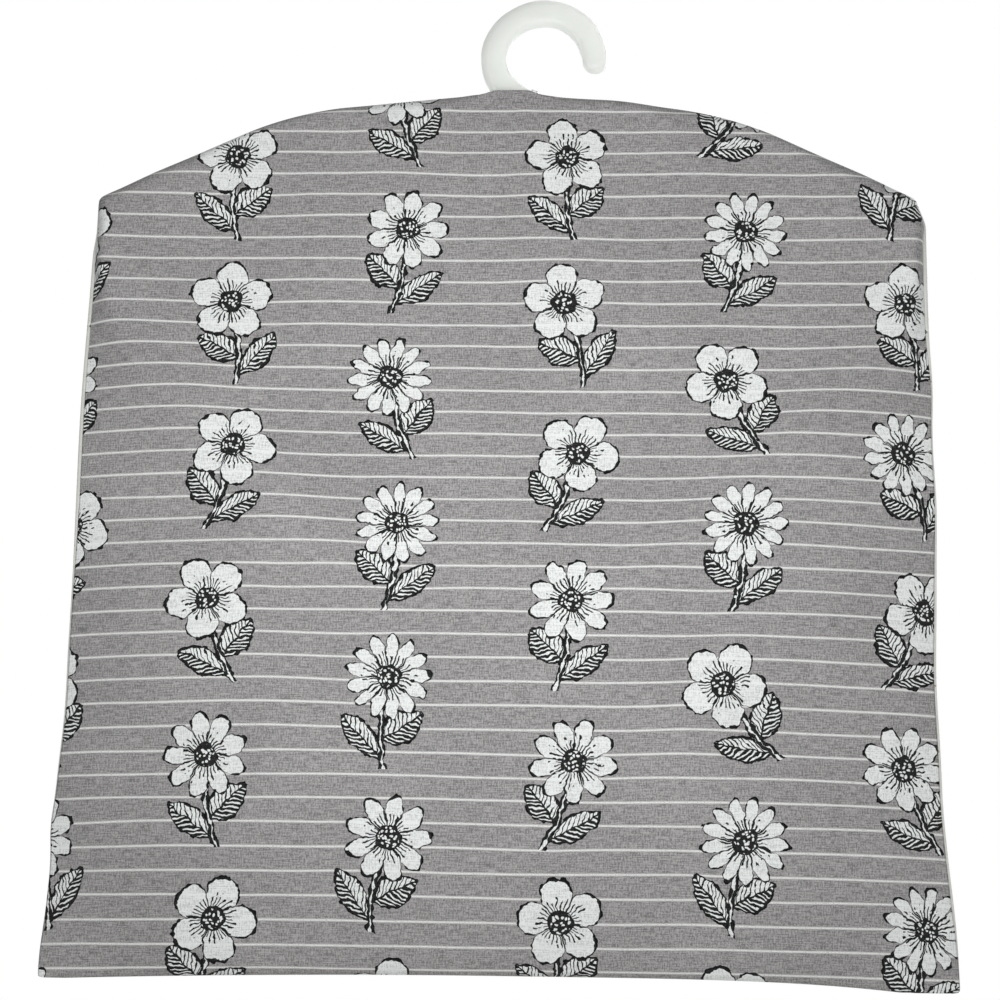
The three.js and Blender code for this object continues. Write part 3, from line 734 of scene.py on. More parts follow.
# %% [markdown]
# ### The sprig
#
# The flat cut is divided into cells, and a wobble makes every line look drawn by hand. Each cell's
# own random numbers mirror, turn and choose its sprig. A bloom is drawn in polar form: the petals'
# edge is a wavy circle, so a point is inside where its distance from the heart is below that wave.
# The leaves are a pair of lens shapes on a curved stem. Each line's weight varies with a noise, as
# a pen's does.

# %% Half-drop cells
CELL_WIDTH, CELL_DROP, CELL_START, HAND_WOBBLE = 62.0, 57.0, (0.13, 0.17), 2.4

wobble_noise = cloth_noise(tree, cloth_mm, 4.5, 4.5)
wobble = add(tree, "VectorMath SUBTRACT", wobble_noise.outputs["Color"], (0.5, 0.5, 0.5))
hand = add(tree, "VectorMath MULTIPLY_ADD", wobble, (HAND_WOBBLE, HAND_WOBBLE, 0), cloth_mm)
hand_x, hand_y = add(tree, "SeparateXYZ", hand).outputs[:2]
column_place = add(tree, "Math MULTIPLY_ADD", hand_x, 1 / CELL_WIDTH, CELL_START[0])
column = add(tree, "Math FLOOR", column_place)
odd_column = add(tree, "Math FLOORED_MODULO", column, 2.0)
row_place = add(tree, "Math MULTIPLY_ADD", hand_y, 1 / CELL_DROP, CELL_START[1])
row_dropped = add(tree, "Math MULTIPLY_ADD", odd_column, 0.5, row_place)
row = add(tree, "Math FLOOR", row_dropped)
cell_x = add(tree, "Math SUBTRACT", column_place, column)
cell_y = add(tree, "Math SUBTRACT", row_dropped, row)
cell = add(tree, "CombineXYZ", cell_x, cell_y)
cell_centred = add(tree, "VectorMath SUBTRACT", cell, (0.5, 0.5, 0))
cell_mm = add(tree, "VectorMath MULTIPLY", cell_centred, (CELL_WIDTH, CELL_DROP, 0))
cell_number = add(tree, "CombineXYZ", column, row)
chance = add(tree, "TexWhiteNoise", {"Vector": cell_number}, noise_dimensions="2D")
chances = add(tree, "SeparateColor", chance.outputs["Color"])
sprig_lean = add(tree, "MapRange", chances.outputs[0], 0.0, 1.0, -0.5, 0.5)
turned_cell = add(tree, "VectorRotate", {"Vector": cell_mm, "Angle": sprig_lean}, rotation_type="Z_AXIS")
mirror = add(tree, "Math GREATER_THAN", chances.outputs[1], 0.5)
mirror_sign = add(tree, "Math MULTIPLY_ADD", mirror, 2.0, -1.0)
mirrored = add(tree, "CombineXYZ", mirror_sign, 1.0, 1.0)
sprig = add(tree, "VectorMath MULTIPLY", turned_cell, mirrored)
print("cell nodes:", len(tree.nodes))

# %% Pen
# Half the width of a line in millimetres.
PEN_THIN, PEN_THICK = 0.2, 0.8

pen_noise = cloth_noise(tree, cloth_mm, 2.6, 2.6, 1.0)
pen = add(tree, "MapRange", pen_noise, 0.35, 0.68, PEN_THIN, PEN_THICK)


def pen_line(distance):
    """Ink where a distance in millimetres is within half the pen's width of zero."""
    far = add(tree, "Math ABSOLUTE", distance)
    return add(tree, "Math LESS_THAN", far, pen)


print("width of the pen in mm:", 2 * PEN_THIN, "to", 2 * PEN_THICK)

# %% Bloom
BLOOM_PLACE, PETAL_START, PETAL_LENGTH, HEART = (2.0, 9.5, 0), 8.0, 7.2, 4.0
PETAL_ROUND, PETAL_GAP, STREAKS, SEED_STEP = 0.55, 0.26, 31.0, 1.5

bloom = add(tree, "VectorMath SUBTRACT", sprig, BLOOM_PLACE)
bloom_x, bloom_y = add(tree, "SeparateXYZ", bloom).outputs[:2]
radius = add(tree, "VectorMath LENGTH", bloom).outputs["Value"]
angle = add(tree, "Math ARCTAN2", bloom_y, bloom_x)
# Three kinds of bloom, with five, nine and thirteen petals.
kind_step = add(tree, "Math MULTIPLY", chances.outputs[2], 2.999)
bloom_kind = add(tree, "Math FLOOR", kind_step)
half_petals = add(tree, "Math MULTIPLY_ADD", bloom_kind, 2.0, 2.5)
petal_angle = add(tree, "Math MULTIPLY", angle, half_petals)
petal_cosine = add(tree, "Math COSINE", petal_angle)
petal_wave = add(tree, "Math ABSOLUTE", petal_cosine)
petal_round = add(tree, "Math POWER", petal_wave, PETAL_ROUND)
petal_edge = add(tree, "Math MULTIPLY_ADD", petal_round, PETAL_LENGTH, PETAL_START)
past_edge = add(tree, "Math SUBTRACT", radius, petal_edge)
bloom_white = add(tree, "Math LESS_THAN", past_edge, 0.0)
edge_ink = pen_line(past_edge)
gap_width = add(tree, "Math MULTIPLY", radius, petal_wave)
gap_mm = add(tree, "Math DIVIDE", gap_width, half_petals)
gap_ink = add(tree, "Math LESS_THAN", gap_mm, PETAL_GAP)
gap_inked = add(tree, "Math MULTIPLY", gap_ink, bloom_white)
streak_angle = add(tree, "Math MULTIPLY", angle, STREAKS)
streak_wave = add(tree, "Math SINE", streak_angle)
streak_reach = add(tree, "Math MULTIPLY_ADD", pen_noise, 9.0, 3.4)
streak_near = add(tree, "Math LESS_THAN", radius, streak_reach)
streak_line = add(tree, "Math GREATER_THAN", streak_wave, 0.45)
streak_ink = add(tree, "Math MULTIPLY", streak_near, streak_line)
past_heart = add(tree, "Math SUBTRACT", radius, HEART)
heart = add(tree, "Math LESS_THAN", past_heart, 0.0)
heart_ink = pen_line(past_heart)
seeds = add(tree, "TexVoronoi", {"Vector": hand, "Scale": 1 / SEED_STEP}, voronoi_dimensions="2D")
seed_ink = add(tree, "Math GREATER_THAN", seeds.outputs["Distance"], 0.3)
petal_lines = add(tree, "Math MAXIMUM", gap_inked, streak_ink)
bloom_lines = add(tree, "Mix", {0: heart, 2: petal_lines, 3: seed_ink})
bloom_rims = add(tree, "Math MAXIMUM", edge_ink, heart_ink)
bloom_ink = add(tree, "Math MAXIMUM", bloom_rims, bloom_lines)
print("bloom nodes:", len(tree.nodes))

# %% Stem
STEM_HALF, STEM_RIM, STEM_BOW, STEM_FOOT, STEM_HEAD = 1.0, 0.85, 0.0085, -23.0, 6.0
BOW_X, BOW_Y = 1.4, 2.0

sprig_x, sprig_y = add(tree, "SeparateXYZ", sprig).outputs[:2]
stem_drop = add(tree, "Math SUBTRACT", sprig_y, BOW_Y)
stem_square = add(tree, "Math MULTIPLY", stem_drop, stem_drop)
stem_x = add(tree, "Math MULTIPLY_ADD", stem_square, STEM_BOW, sprig_x)
stem_off = add(tree, "Math SUBTRACT", stem_x, BOW_X)
stem_far = add(tree, "Math ABSOLUTE", stem_off)
stem_band = add(tree, "Math LESS_THAN", stem_far, STEM_HALF)
stem_low = add(tree, "Math GREATER_THAN", sprig_y, STEM_FOOT)
stem_high = add(tree, "Math LESS_THAN", sprig_y, STEM_HEAD)
stem_span = add(tree, "Math MULTIPLY", stem_low, stem_high)
stem_white = add(tree, "Math MULTIPLY", stem_span, stem_band)
stem_rim = add(tree, "Math SUBTRACT", stem_far, STEM_RIM)
stem_ink = add(tree, "Math MULTIPLY", pen_line(stem_rim), stem_span)
print("stem nodes:", len(tree.nodes))

# %% Leaves
LEAF_LENGTH, LEAF_WIDTH, LEAF_TURN, LEAF_DROP, LEAF_STAGGER = 19.0, 20.0, -0.72, 16.5, 3.2
VEIN_STEP, VEIN_SLANT, MIDRIB = 1.9, -0.9, 0.3

leaf_side = add(tree, "Math SIGN", stem_off)
leaf_base = add(tree, "Math MULTIPLY_ADD", leaf_side, LEAF_STAGGER, sprig_y)
leaf_up = add(tree, "Math ADD", leaf_base, LEAF_DROP)
leaf_frame = add(tree, "CombineXYZ", stem_far, leaf_up)
leaf = add(tree, "VectorRotate", {"Vector": leaf_frame, "Angle": LEAF_TURN}, rotation_type="Z_AXIS")
leaf_x, leaf_y = add(tree, "SeparateXYZ", leaf).outputs[:2]
leaf_share = add(tree, "Math MULTIPLY", leaf_x, 1 / LEAF_LENGTH)
leaf_rest = add(tree, "Math SUBTRACT", 1.0, leaf_share)
leaf_lens = add(tree, "Math MULTIPLY", leaf_share, leaf_rest)
leaf_half = add(tree, "Math MULTIPLY", leaf_lens, LEAF_WIDTH)
leaf_across = add(tree, "Math ABSOLUTE", leaf_y)
leaf_past = add(tree, "Math SUBTRACT", leaf_across, leaf_half)
leaf_white = add(tree, "Math LESS_THAN", leaf_past, 0.0)
leaf_near = add(tree, "Math GREATER_THAN", leaf_lens, 0.002)
leaf_rim_ink = add(tree, "Math MULTIPLY", pen_line(leaf_past), leaf_near)
vein_slant = add(tree, "Math MULTIPLY_ADD", leaf_across, VEIN_SLANT, leaf_x)
vein_turn = add(tree, "Math MULTIPLY", vein_slant, 2 * math.pi / VEIN_STEP)
vein_wave = add(tree, "Math SINE", vein_turn)
# The under half of a leaf is hatched more heavily.
leaf_under = add(tree, "Math LESS_THAN", leaf_y, 0.0)
vein_light = add(tree, "Math MULTIPLY_ADD", pen_noise, 1.4, -0.1)
vein_weight = add(tree, "Math MULTIPLY_ADD", leaf_under, -0.95, vein_light)
vein_line = add(tree, "Math GREATER_THAN", vein_wave, vein_weight)
midrib = add(tree, "Math LESS_THAN", leaf_across, MIDRIB)
vein_all = add(tree, "Math MAXIMUM", vein_line, midrib)
vein_ink = add(tree, "Math MULTIPLY", vein_all, leaf_white)
leaf_ink = add(tree, "Math MAXIMUM", leaf_rim_ink, vein_ink)
print("sprig nodes:", len(tree.nodes))

# %% Ink, white and finish
greens_white = add(tree, "Math MAXIMUM", stem_white, leaf_white)
greens_ink = add(tree, "Math MAXIMUM", stem_ink, leaf_ink)
below_bloom = add(tree, "Math SUBTRACT", 1.0, bloom_white)
greens_ink_shown = add(tree, "Math MULTIPLY", greens_ink, below_bloom)
print_white = add(tree, "Math MAXIMUM", bloom_white, greens_white)
print_ink = add(tree, "Math MAXIMUM", bloom_ink, greens_ink_shown)
# The white sits on the raised yarns and is thinner between them, so the weave shows through.
white_cover = add(tree, "MapRange", grain, 1.1, 1.7, 0.57, 1.0)
white_share = add(tree, "Math MULTIPLY", print_white, white_cover)
ink_cover = add(tree, "MapRange", grain, 1.1, 1.9, 1.0, 0.97)
ink_share = add(tree, "Math MULTIPLY", print_ink, ink_cover)
whitened = add(tree, "Mix", {0: white_share, 6: striped.outputs[2], 7: linear("#f3f6f5")}, data_type="RGBA")
inked = add(tree, "Mix", {0: ink_share, 6: whitened.outputs[2], 7: linear("#0a0a0a")}, data_type="RGBA")
# Two short creases were pressed in below the neck. Their dents are in the geometry; here each also gets
# painted shade, a thin dark line along its middle.
painted_crease_shade = inked
for middle, height, slant, half, shade in CREASES:
    along = add(tree, "Math SUBTRACT", across, middle)
    drop = add(tree, "Math SUBTRACT", down, height)
    off = add(tree, "Math MULTIPLY_ADD", along, -slant, drop)
    off_far = add(tree, "Math ABSOLUTE", off)
    line = add(tree, "MapRange", off_far, 0.0, CREASE_LINE, shade, 0.0)
    along_far = add(tree, "Math ABSOLUTE", along)
    fade = add(tree, "MapRange", along_far, half * 0.55, half, 1.0, 0.0)
    shaded = add(tree, "Math MULTIPLY", line, fade)
    painted_crease_shade = add(tree, "Mix", {0: shaded, 6: painted_crease_shade.outputs[2], 7: linear("#2c2b2b")}, data_type="RGBA")
weave_bump = add(tree, "Bump", {"Height": grain, "Strength": 0.35, "Distance": 0.12 * MM})
cotton_rough = add(tree, "MapRange", print_white, 0.0, 1.0, 0.92, 0.78)
cotton = add(tree, "BsdfPrincipled", {
    "Base Color": painted_crease_shade.outputs[2], "Roughness": cotton_rough, "Normal": weave_bump,
    "Specular IOR Level": 0.12, "Sheen Weight": 0.04, "Sheen Roughness": 0.5})
add(tree, "OutputMaterial", cotton)
print("printed cotton:", len(tree.nodes), "nodes")

# %% [markdown]
# ### The wrong side and the plain cloths
#
# The wrong side of the front shows the woven stripes, because they go through the cloth, but not
# the print. The back is calico: plain half-bleached cotton, off-white with small flecks of seed husk.
# The bindings are bias tape, cut at 45 degrees to the yarns so that they bend round a curve.

# %% Wrong side, calico and bias tape
# The yarns of all three are drawn 0.6 mm apart, twice the real spacing, so that they show.
YARN_STEP, SLUB_LENGTH, HUSK_STEP = 0.6, 8.0, 9.0


def woven(name, dark, light, fleck, fleck_amount, turn, stripe_colour):
    """A plain woven cotton: yarns both ways, flecks, and a stripe where it has one."""
    material, tree = new_material(name)
    uv = add(tree, "UVMap", uv_map="flat_cut")
    to_mm = {"Vector": uv, "Rotation": (0, 0, math.radians(turn)), "Scale": (1 / MM, 1 / MM, 1 / MM)}
    place = add(tree, "Mapping", to_mm)
    warp = cloth_noise(tree, place, YARN_STEP, SLUB_LENGTH)
    weft = cloth_noise(tree, place, SLUB_LENGTH, YARN_STEP)
    yarns = add(tree, "Math ADD", warp, weft)
    mixed = add(tree, "MapRange", yarns, 0.6, 1.4)
    colour = add(tree, "Mix", {0: mixed, 6: linear(dark), 7: linear(light)}, data_type="RGBA")
    husks = add(tree, "TexVoronoi", {"Vector": place, "Scale": 1 / HUSK_STEP}, voronoi_dimensions="2D")
    husk_chance = add(tree, "SeparateColor", husks.outputs["Color"])
    husk_size = add(tree, "Math MULTIPLY", husk_chance.outputs[0], fleck_amount)
    husk = add(tree, "Math LESS_THAN", husks.outputs["Distance"], husk_size)
    shown = add(tree, "Mix", {0: husk, 6: colour.outputs[2], 7: linear(fleck)}, data_type="RGBA")
    if stripe_colour:
        height = add(tree, "SeparateXYZ", place).outputs[1]
        line = add(tree, "Math LESS_THAN", stripe_distance(tree, height), STRIPE_WIDTH / 2)
        shown = add(tree, "Mix", {0: line, 6: shown.outputs[2], 7: linear(stripe_colour)}, data_type="RGBA")
    bump = add(tree, "Bump", {"Height": yarns, "Strength": 0.4, "Distance": 0.15 * MM})
    cotton = add(tree, "BsdfPrincipled", {
        "Base Color": shown.outputs[2], "Roughness": 0.93, "Normal": bump, "Specular IOR Level": 0.2,
        "Sheen Weight": 0.08, "Sheen Roughness": 0.5})
    add(tree, "OutputMaterial", cotton)
    return material


# All three are matt. Only the calico has flecks that show.
wrong_side = woven("striped_cotton_wrong_side", "#858484", "#aeacac", "#8a8888", 0.0, 0, "#cfcdcb")
calico = woven("half_bleached_calico", "#dfe0d9", "#eeefe9", "#b3a684", 0.05, 0, None)
bias_tape = woven("cotton_bias_tape", "#787777", "#9c9a9a", "#787777", 0.0, 45, None)
print("cloths:", [cloth.name for cloth in (printed_cotton, wrong_side, calico, bias_tape)])

# %% [markdown]
# ## The three panels
#
# A grid becomes a mesh by joining each point to its neighbours. The points are on the outside of
# the cloth, so a Solidify modifier gives the thickness inwards. Its material offset puts the wrong
# side on the inner face.

# %% Panels
CLOTH = 0.55


def to_frame(points):
    return (np.asarray(points, float) + CROWN) * MM


def new_piece(name, vertices, faces, uvs, materials):
    """A smooth mesh object at the origin. uvs has one pair for each vertex."""
    mesh = bpy.data.meshes.new(name)
    mesh.from_pydata([tuple(v) for v in vertices], [], faces)
    layer = mesh.uv_layers.new(name="flat_cut")
    corners = np.empty(len(mesh.loops), dtype=np.int32)
    mesh.loops.foreach_get("vertex_index", corners)
    layer.data.foreach_set("uv", np.asarray(uvs, dtype=np.float32)[corners].ravel())
    mesh.shade_smooth()
    for material in materials:
        mesh.materials.append(material)
    return new_object(name, mesh)


def hand_over(piece, body, node):
    """Ties a piece to its body and hides the solid that it takes the place of."""
    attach(piece, body)
    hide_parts(node)
    print(piece.name, len(piece.data.polygons), "faces")


def cloth_panel(name, panel, materials):
    """A panel of cloth with its allowance, as thick as the cloth."""
    kept = ~panel.corner
    number = np.full(kept.shape, -1)
    number[kept] = np.arange(kept.sum())
    faces = [quad if panel.face < 0 else quad[::-1] for quad in grid_faces(number)]
    piece = new_piece(name, to_frame(panel.points[kept]), faces, panel.cut[kept], materials)
    thick = piece.modifiers.new("cloth_thickness", "SOLIDIFY")
    thick.thickness = CLOTH * MM
    thick.offset = -1
    thick.material_offset = 1
    thick.material_offset_rim = 1
    return piece


for name, materials, node, slot in (
        ("front", (printed_cotton, wrong_side), "front_panel", "striped_cotton"),
        ("yoke", (calico, calico), "back_yoke", "calico"),
        ("pocket", (calico, calico), "back_pocket", "calico")):
    panels[name].piece = cloth_panel(name + "_cloth", panels[name], materials)
    hand_over(panels[name].piece, "bag", node)

# %% [markdown]
# ## Bindings
#
# Each lip of the mouth is bound: a strip of bias tape is folded over the raw edge and sewn through.
# The tape is a rounded U in section, carried along the lip. A sweep along a smooth curve would sink
# into the rumpled cloth in places, so the tape walks on the cloth's own grid instead: at each column
# it goes from the lip into the panel and takes the middle of the cloth and the way its face looks.

# %% The cloth beside a lip
# The tape starts in the turned side, at this column of the grid, and is pressed thinner there.
TAPE_COLUMN, TAPE_PRESSED = 9, 0.36


def unit(vectors):
    return vectors / np.linalg.norm(vectors, axis=-1, keepdims=True)


def lip_band(sheet):
    """For a sheet whose first row is a lip: a function of the distance out of the lip, and how far the
    tape is pressed at each column. The function gives the middle of the cloth at that distance, or of
    the air before it, and the way out of the cloth's face."""
    run, drop = np.gradient(sheet, axis=1), np.gradient(sheet, axis=0)
    out = unit(np.cross(run, drop))
    out *= np.sign(out[..., 1:2])
    edge = np.cross(out[0], unit(run[0]))
    edge *= -np.sign(np.sum(edge * drop[0], axis=1, keepdims=True))
    slope = np.abs(np.sum(edge * unit(drop[0]), axis=1))
    lengths = walked(sheet, 0)
    columns = np.arange(sheet.shape[1])
    used = slice(TAPE_COLUMN, -TAPE_COLUMN)
    press = TAPE_PRESSED + (1 - TAPE_PRESSED) * np.sin(panel_columns(True)[1])[:, None]

    def band(along):
        places, outs = sheet[0] + edge * along * press, out[0]
        if along <= 0:
            walk = [np.interp(-along / slope[c], lengths[:, c], np.arange(len(sheet))) for c in columns]
            upper = np.array(walk).astype(int)
            share = (np.array(walk) - upper)[:, None]
            places = sheet[upper, columns] * (1 - share) + sheet[upper + 1, columns] * share
            outs = unit(out[upper, columns] * (1 - share) + out[upper + 1, columns] * share)
        return (places - outs * CLOTH / 2)[used], outs[used]

    return band, press[used]


lips = {"yoke": lip_band(panels["yoke"].points[::-1]), "pocket": lip_band(panels["pocket"].points)}
print("columns of the tapes:", [len(press) for _, press in lips.values()])

# %% Tape in section
TAPE_WIDTH, TAPE_THICK, TAPE_SLACK, TAPE_EDGE = 7.0, 0.6, 0.1, 0.15
# How far beyond the lip the fold starts, the points along a leg, and the puff: height, step and start.
TAPE_FOLD, TAPE_STEPS, PUFF, PUFF_STEP, PUFF_FROM = 0.25, (5.5, 4, 2.5, 1), 0.1, 3.2, 0.8
TAPE_INNER = CLOTH / 2 + TAPE_SLACK
TAPE_OUTER = TAPE_INNER + TAPE_THICK


def tape_section():
    """The folded tape in section, counter-clockwise: how far out of the edge and out of the face. Its
    outer side comes first, and its count of points is given too."""
    turns = np.radians(np.linspace(-90, 90, 9))
    lower = [(-TAPE_WIDTH, -TAPE_OUTER + TAPE_EDGE), (-TAPE_WIDTH + TAPE_EDGE, -TAPE_OUTER)]
    lower += [(-back, -TAPE_OUTER) for back in TAPE_STEPS]
    fold = [(TAPE_FOLD + TAPE_OUTER * math.cos(t), TAPE_OUTER * math.sin(t)) for t in turns]
    outside = lower + fold + [(back, -off) for back, off in reversed(lower)]
    inner_fold = [(TAPE_FOLD + TAPE_INNER * math.cos(t), TAPE_INNER * math.sin(t)) for t in turns[::-2]]
    inside = [(-back, TAPE_INNER) for back in (TAPE_WIDTH, 4, 1)]
    inside += inner_fold + [(-back, -TAPE_INNER) for back in (1, 4, TAPE_WIDTH)]
    return outside + inside, len(outside)


print("tape folded to", TAPE_WIDTH, "mm, its outside", 2 * TAPE_OUTER, "mm thick")

# %% Tape round the two lips
def ring_faces(start, rings, count):
    """Quads that join closed rings of points, each ring to the next."""
    faces = []
    for ring in range(rings - 1):
        for k in range(count):
            a, b = start + ring * count + k, start + ring * count + (k + 1) % count
            faces.append((a, b, b + count, a + count))
    return faces


def tape_piece(name, band, press):
    """Tape along a lip, closed at both ends. Its outer faces puff a little between the stitches."""
    section, outer_count = tape_section()
    lip = band(0)[0]
    run = unit(np.gradient(lip, axis=0))
    count, steps = len(section), len(lip)
    lengths, walk = walked(lip, 0), walked(np.array(section), 0)
    puff = np.array([[PUFF * noise.noise(Vector((length / PUFF_STEP, 1.7, 0.3)))] for length in lengths])
    rings, uvs = [], []
    for k, (along, off_face) in enumerate(section):
        places, outs = band(along)
        uvs.append(np.stack((lengths + np.sum((places - lip) * run, axis=1), walk[k] + 0 * lengths), -1) * MM)
        swell = puff * np.sign(off_face) if k < outer_count and abs(off_face) > PUFF_FROM else 0
        rings.append(places + outs * (off_face + swell) * press)
    vertices, uvs = np.stack(rings, 1).reshape(-1, 3), np.stack(uvs, 1).reshape(-1, 2)
    ends = geometry.tessellate_polygon([[Vector((a, b, 0)) for a, b in section]])
    last = (steps - 1) * count
    faces = ring_faces(0, steps, count)
    faces += [(a, c, b) for a, b, c in ends] + [(last + a, last + b, last + c) for a, b, c in ends]
    return new_piece(name, to_frame(vertices), faces, uvs, (bias_tape,))


def face_out(piece):
    """Turns every face of a closed mesh outwards."""
    work = bmesh.new()
    work.from_mesh(piece.data)
    bmesh.ops.recalc_face_normals(work, faces=work.faces)
    work.to_mesh(piece.data)
    work.free()


tapes = {name: tape_piece(name + "_tape", *lip) for name, lip in lips.items()}
for name, piece in tapes.items():
    face_out(piece)
    hand_over(piece, "bag", name + "_binding")

# %% [markdown]
# ## Stitches
#
# Stitches repeat along a path, which is what Geometry Nodes are good at. One tree takes a line,
# walks along it in steps of one stitch and puts a short plump thread at every step, turned along
# the line. A machine's lockstitch shows on both sides of the cloth, so each seam has two rows.

# %% Threads
PLY = 0.35


def spun_thread(name, dark, light):
    """Spun polyester thread: a slight shine and a fine twist of two plies."""
    material, tree = new_material(name)
    place = add(tree, "TexCoord").outputs["Object"]
    plies = add(tree, "TexNoise", {"Vector": place, "Scale": 1 / (PLY * MM), "Detail": 1.0})
    colour = add(tree, "Mix", {0: plies, 6: linear(dark), 7: linear(light)}, data_type="RGBA")
    bump = add(tree, "Bump", {"Height": plies, "Strength": 0.3, "Distance": 0.1 * MM})
    thread = add(tree, "BsdfPrincipled", {
        "Base Color": colour.outputs[2], "Roughness": 0.6, "Normal": bump, "Sheen Weight": 0.1})
    add(tree, "OutputMaterial", thread)
    return material


seam_thread = spun_thread("grey_spun_polyester", "#8d8b8b", "#b3b1b0")
topstitch_thread = spun_thread("off_white_spun_polyester", "#d2cfc6", "#ebe8e0")
print("threads:", seam_thread.name, topstitch_thread.name)

# %% Stitch tree
# Sizes of a stitch in millimetres.
STITCH = {"Stitch step": 2.6, "Stitch length": 2.35, "Thread width": 0.42}

stitches = bpy.data.node_groups.new("row_of_stitches", "GeometryNodeTree")
stitches.interface.new_socket("Path", in_out="INPUT", socket_type="NodeSocketGeometry")
socket_names = {}
for name, size in STITCH.items():
    socket = stitches.interface.new_socket(name, in_out="INPUT", socket_type="NodeSocketFloat")
    socket.default_value = size * MM
    socket_names[name] = socket.identifier
socket = stitches.interface.new_socket("Thread", in_out="INPUT", socket_type="NodeSocketMaterial")
socket_names["Thread"] = socket.identifier
stitches.interface.new_socket("Stitches", in_out="OUTPUT", socket_type="NodeSocketGeometry")
entry = add(stitches, "NodeGroupInput").outputs
path_curve = add(stitches, "GeometryNodeMeshToCurve", entry["Path"])
stepped = add(stitches, "GeometryNodeResampleCurve", {
    "Curve": path_curve, "Length": entry["Stitch step"]}, mode="LENGTH")
heading = add(stitches, "GeometryNodeInputTangent")
facing = add(stitches, "FunctionNodeAlignRotationToVector", {"Vector": heading}, axis="Z")
plump = add(stitches, "GeometryNodeMeshUVSphere", {"Segments": 7, "Rings": 5, "Radius": 0.5})
plump_smooth = add(stitches, "GeometryNodeSetShadeSmooth", plump)
width, length = entry["Thread width"], entry["Stitch length"]
thread_size = add(stitches, "CombineXYZ", width, width, length)
placed = add(stitches, "GeometryNodeInstanceOnPoints", {
    "Points": stepped, "Instance": plump_smooth, "Rotation": facing, "Scale": thread_size})
real = add(stitches, "GeometryNodeRealizeInstances", placed)
dressed = add(stitches, "GeometryNodeSetMaterial", {"Geometry": real, "Material": entry["Thread"]})
add(stitches, "NodeGroupOutput", dressed)
print("stitch tree:", len(stitches.nodes), "nodes")

# %% Rows of stitches
def sew(name, paths, thread):
    """Rows of stitches along paths in millimetres, as one plain mesh."""
    vertices, edges = [], []
    for path in paths:
        start = len(vertices)
        vertices += [tuple(v) for v in to_frame(path)]
        edges += [(start + i, start + i + 1) for i in range(len(path) - 1)]
    line = bpy.data.meshes.new(name + "_line")
    line.from_pydata(vertices, edges, [])
    draft = new_object(name + "_line", line)
    modifier = draft.modifiers.new("stitches", "NODES")
    modifier.node_group = stitches
    for key, size in STITCH.items():
        modifier[socket_names[key]] = size * MM
    modifier[socket_names["Thread"]] = thread
    evaluated = draft.evaluated_get(bpy.context.evaluated_depsgraph_get())
    mesh = bpy.data.meshes.new_from_object(evaluated)
    mesh.name = name
    bpy.data.objects.remove(draft)
    return new_object(name, mesh)


print("stitches in 100 mm:", round(100 / STITCH["Stitch step"]))

# %% Seams and topstitching
# How far a seam lies inside the edge, and the height of the mouth's ends, where its back row stops.
SEAM_IN, SHOULDER_SEAM_IN, MOUTH_ABOVE, MOUTH_BELOW = 1.6, 1.3, YOKE_EDGE + 2, YOKE_EDGE - 9
# Where a side seam starts and stops, half the bottom seam, and the shoulder seam's ends.
SIDE_SEAM, BOTTOM_HALF, SHOULDER_SEAM = (SHOULDER_Z - 16, BOTTOM + 14), 142, (26, 140)
ALLOWANCE_OUT = np.array((0, ALLOWANCE_HALF + CLOTH + 0.08, 0))
TOPSTITCH_IN, TAPE_OUT = 1.3, TAPE_OUTER + 0.05


def seam_rows(line, out):
    """Two rows of a seam, one on each side of the pair of allowances."""
    return [line + out, line - out]


seams = {}
z_line = np.linspace(*SIDE_SEAM, 160)
for name, side in (("left_side", -1), ("right_side", 1)):
    x_line = side * (half_width(z_line, side) - ROLL_IN * roll_share(z_line, side) - SEAM_IN)
    line = np.stack((x_line, LEAN - ROLL_FORWARD * roll_share(z_line, side), z_line), -1)
    front_row, back_row = seam_rows(line, -ALLOWANCE_OUT)
    seams[name] = [front_row, back_row[z_line > MOUTH_ABOVE], back_row[z_line < MOUTH_BELOW]]
x_line = np.linspace(-BOTTOM_HALF, BOTTOM_HALF, 160)
line = np.stack((x_line, 0 * x_line + LEAN, bottom_edge(x_line) + SEAM_IN), -1)
seams["bottom"] = seam_rows(line, ALLOWANCE_OUT)
for name, side in (("left_shoulder", -1), ("right_shoulder", 1)):
    x_line = side * np.linspace(*SHOULDER_SEAM, 90)
    line = np.stack((x_line, 0 * x_line, top_edge(x_line) - SHOULDER_SEAM_IN), -1)
    seams[name] = seam_rows(line, ALLOWANCE_OUT)
for name, rows in seams.items():
    hand_over(sew(name + "_seam_stitches", rows, seam_thread), "bag", name + "_seam_thread")

for name, (band, press) in lips.items():
    middle, out = band(TOPSTITCH_IN - TAPE_WIDTH)
    rows = [middle + out * TAPE_OUT * press * face for face in (1, -1)]
    piece = sew(name + "_tape_stitches", rows, topstitch_thread)
    hand_over(piece, "bag", name + "_binding_thread")

# %% [markdown]
# ## The hanger
#
# Hook, neck and arms are one injection moulding in polypropylene. The hook is a flat bar with well
# rounded edges. The arms are an I in section, with hollows on both faces and ribs between them, to
# save plastic and let the part cool evenly. Each is an outline pushed out to a thickness with its
# edges rounded: rings of points step in from the outline as they near the face.

# %% Moulded plates
EDGE_STEPS = 6


def inset_loop(loop, distance):
    """A closed loop moved to its left by a distance."""
    run = unit(np.roll(loop, -1, axis=0) - np.roll(loop, 1, axis=0))
    return loop + distance * np.stack((-run[:, 1], run[:, 0]), -1)


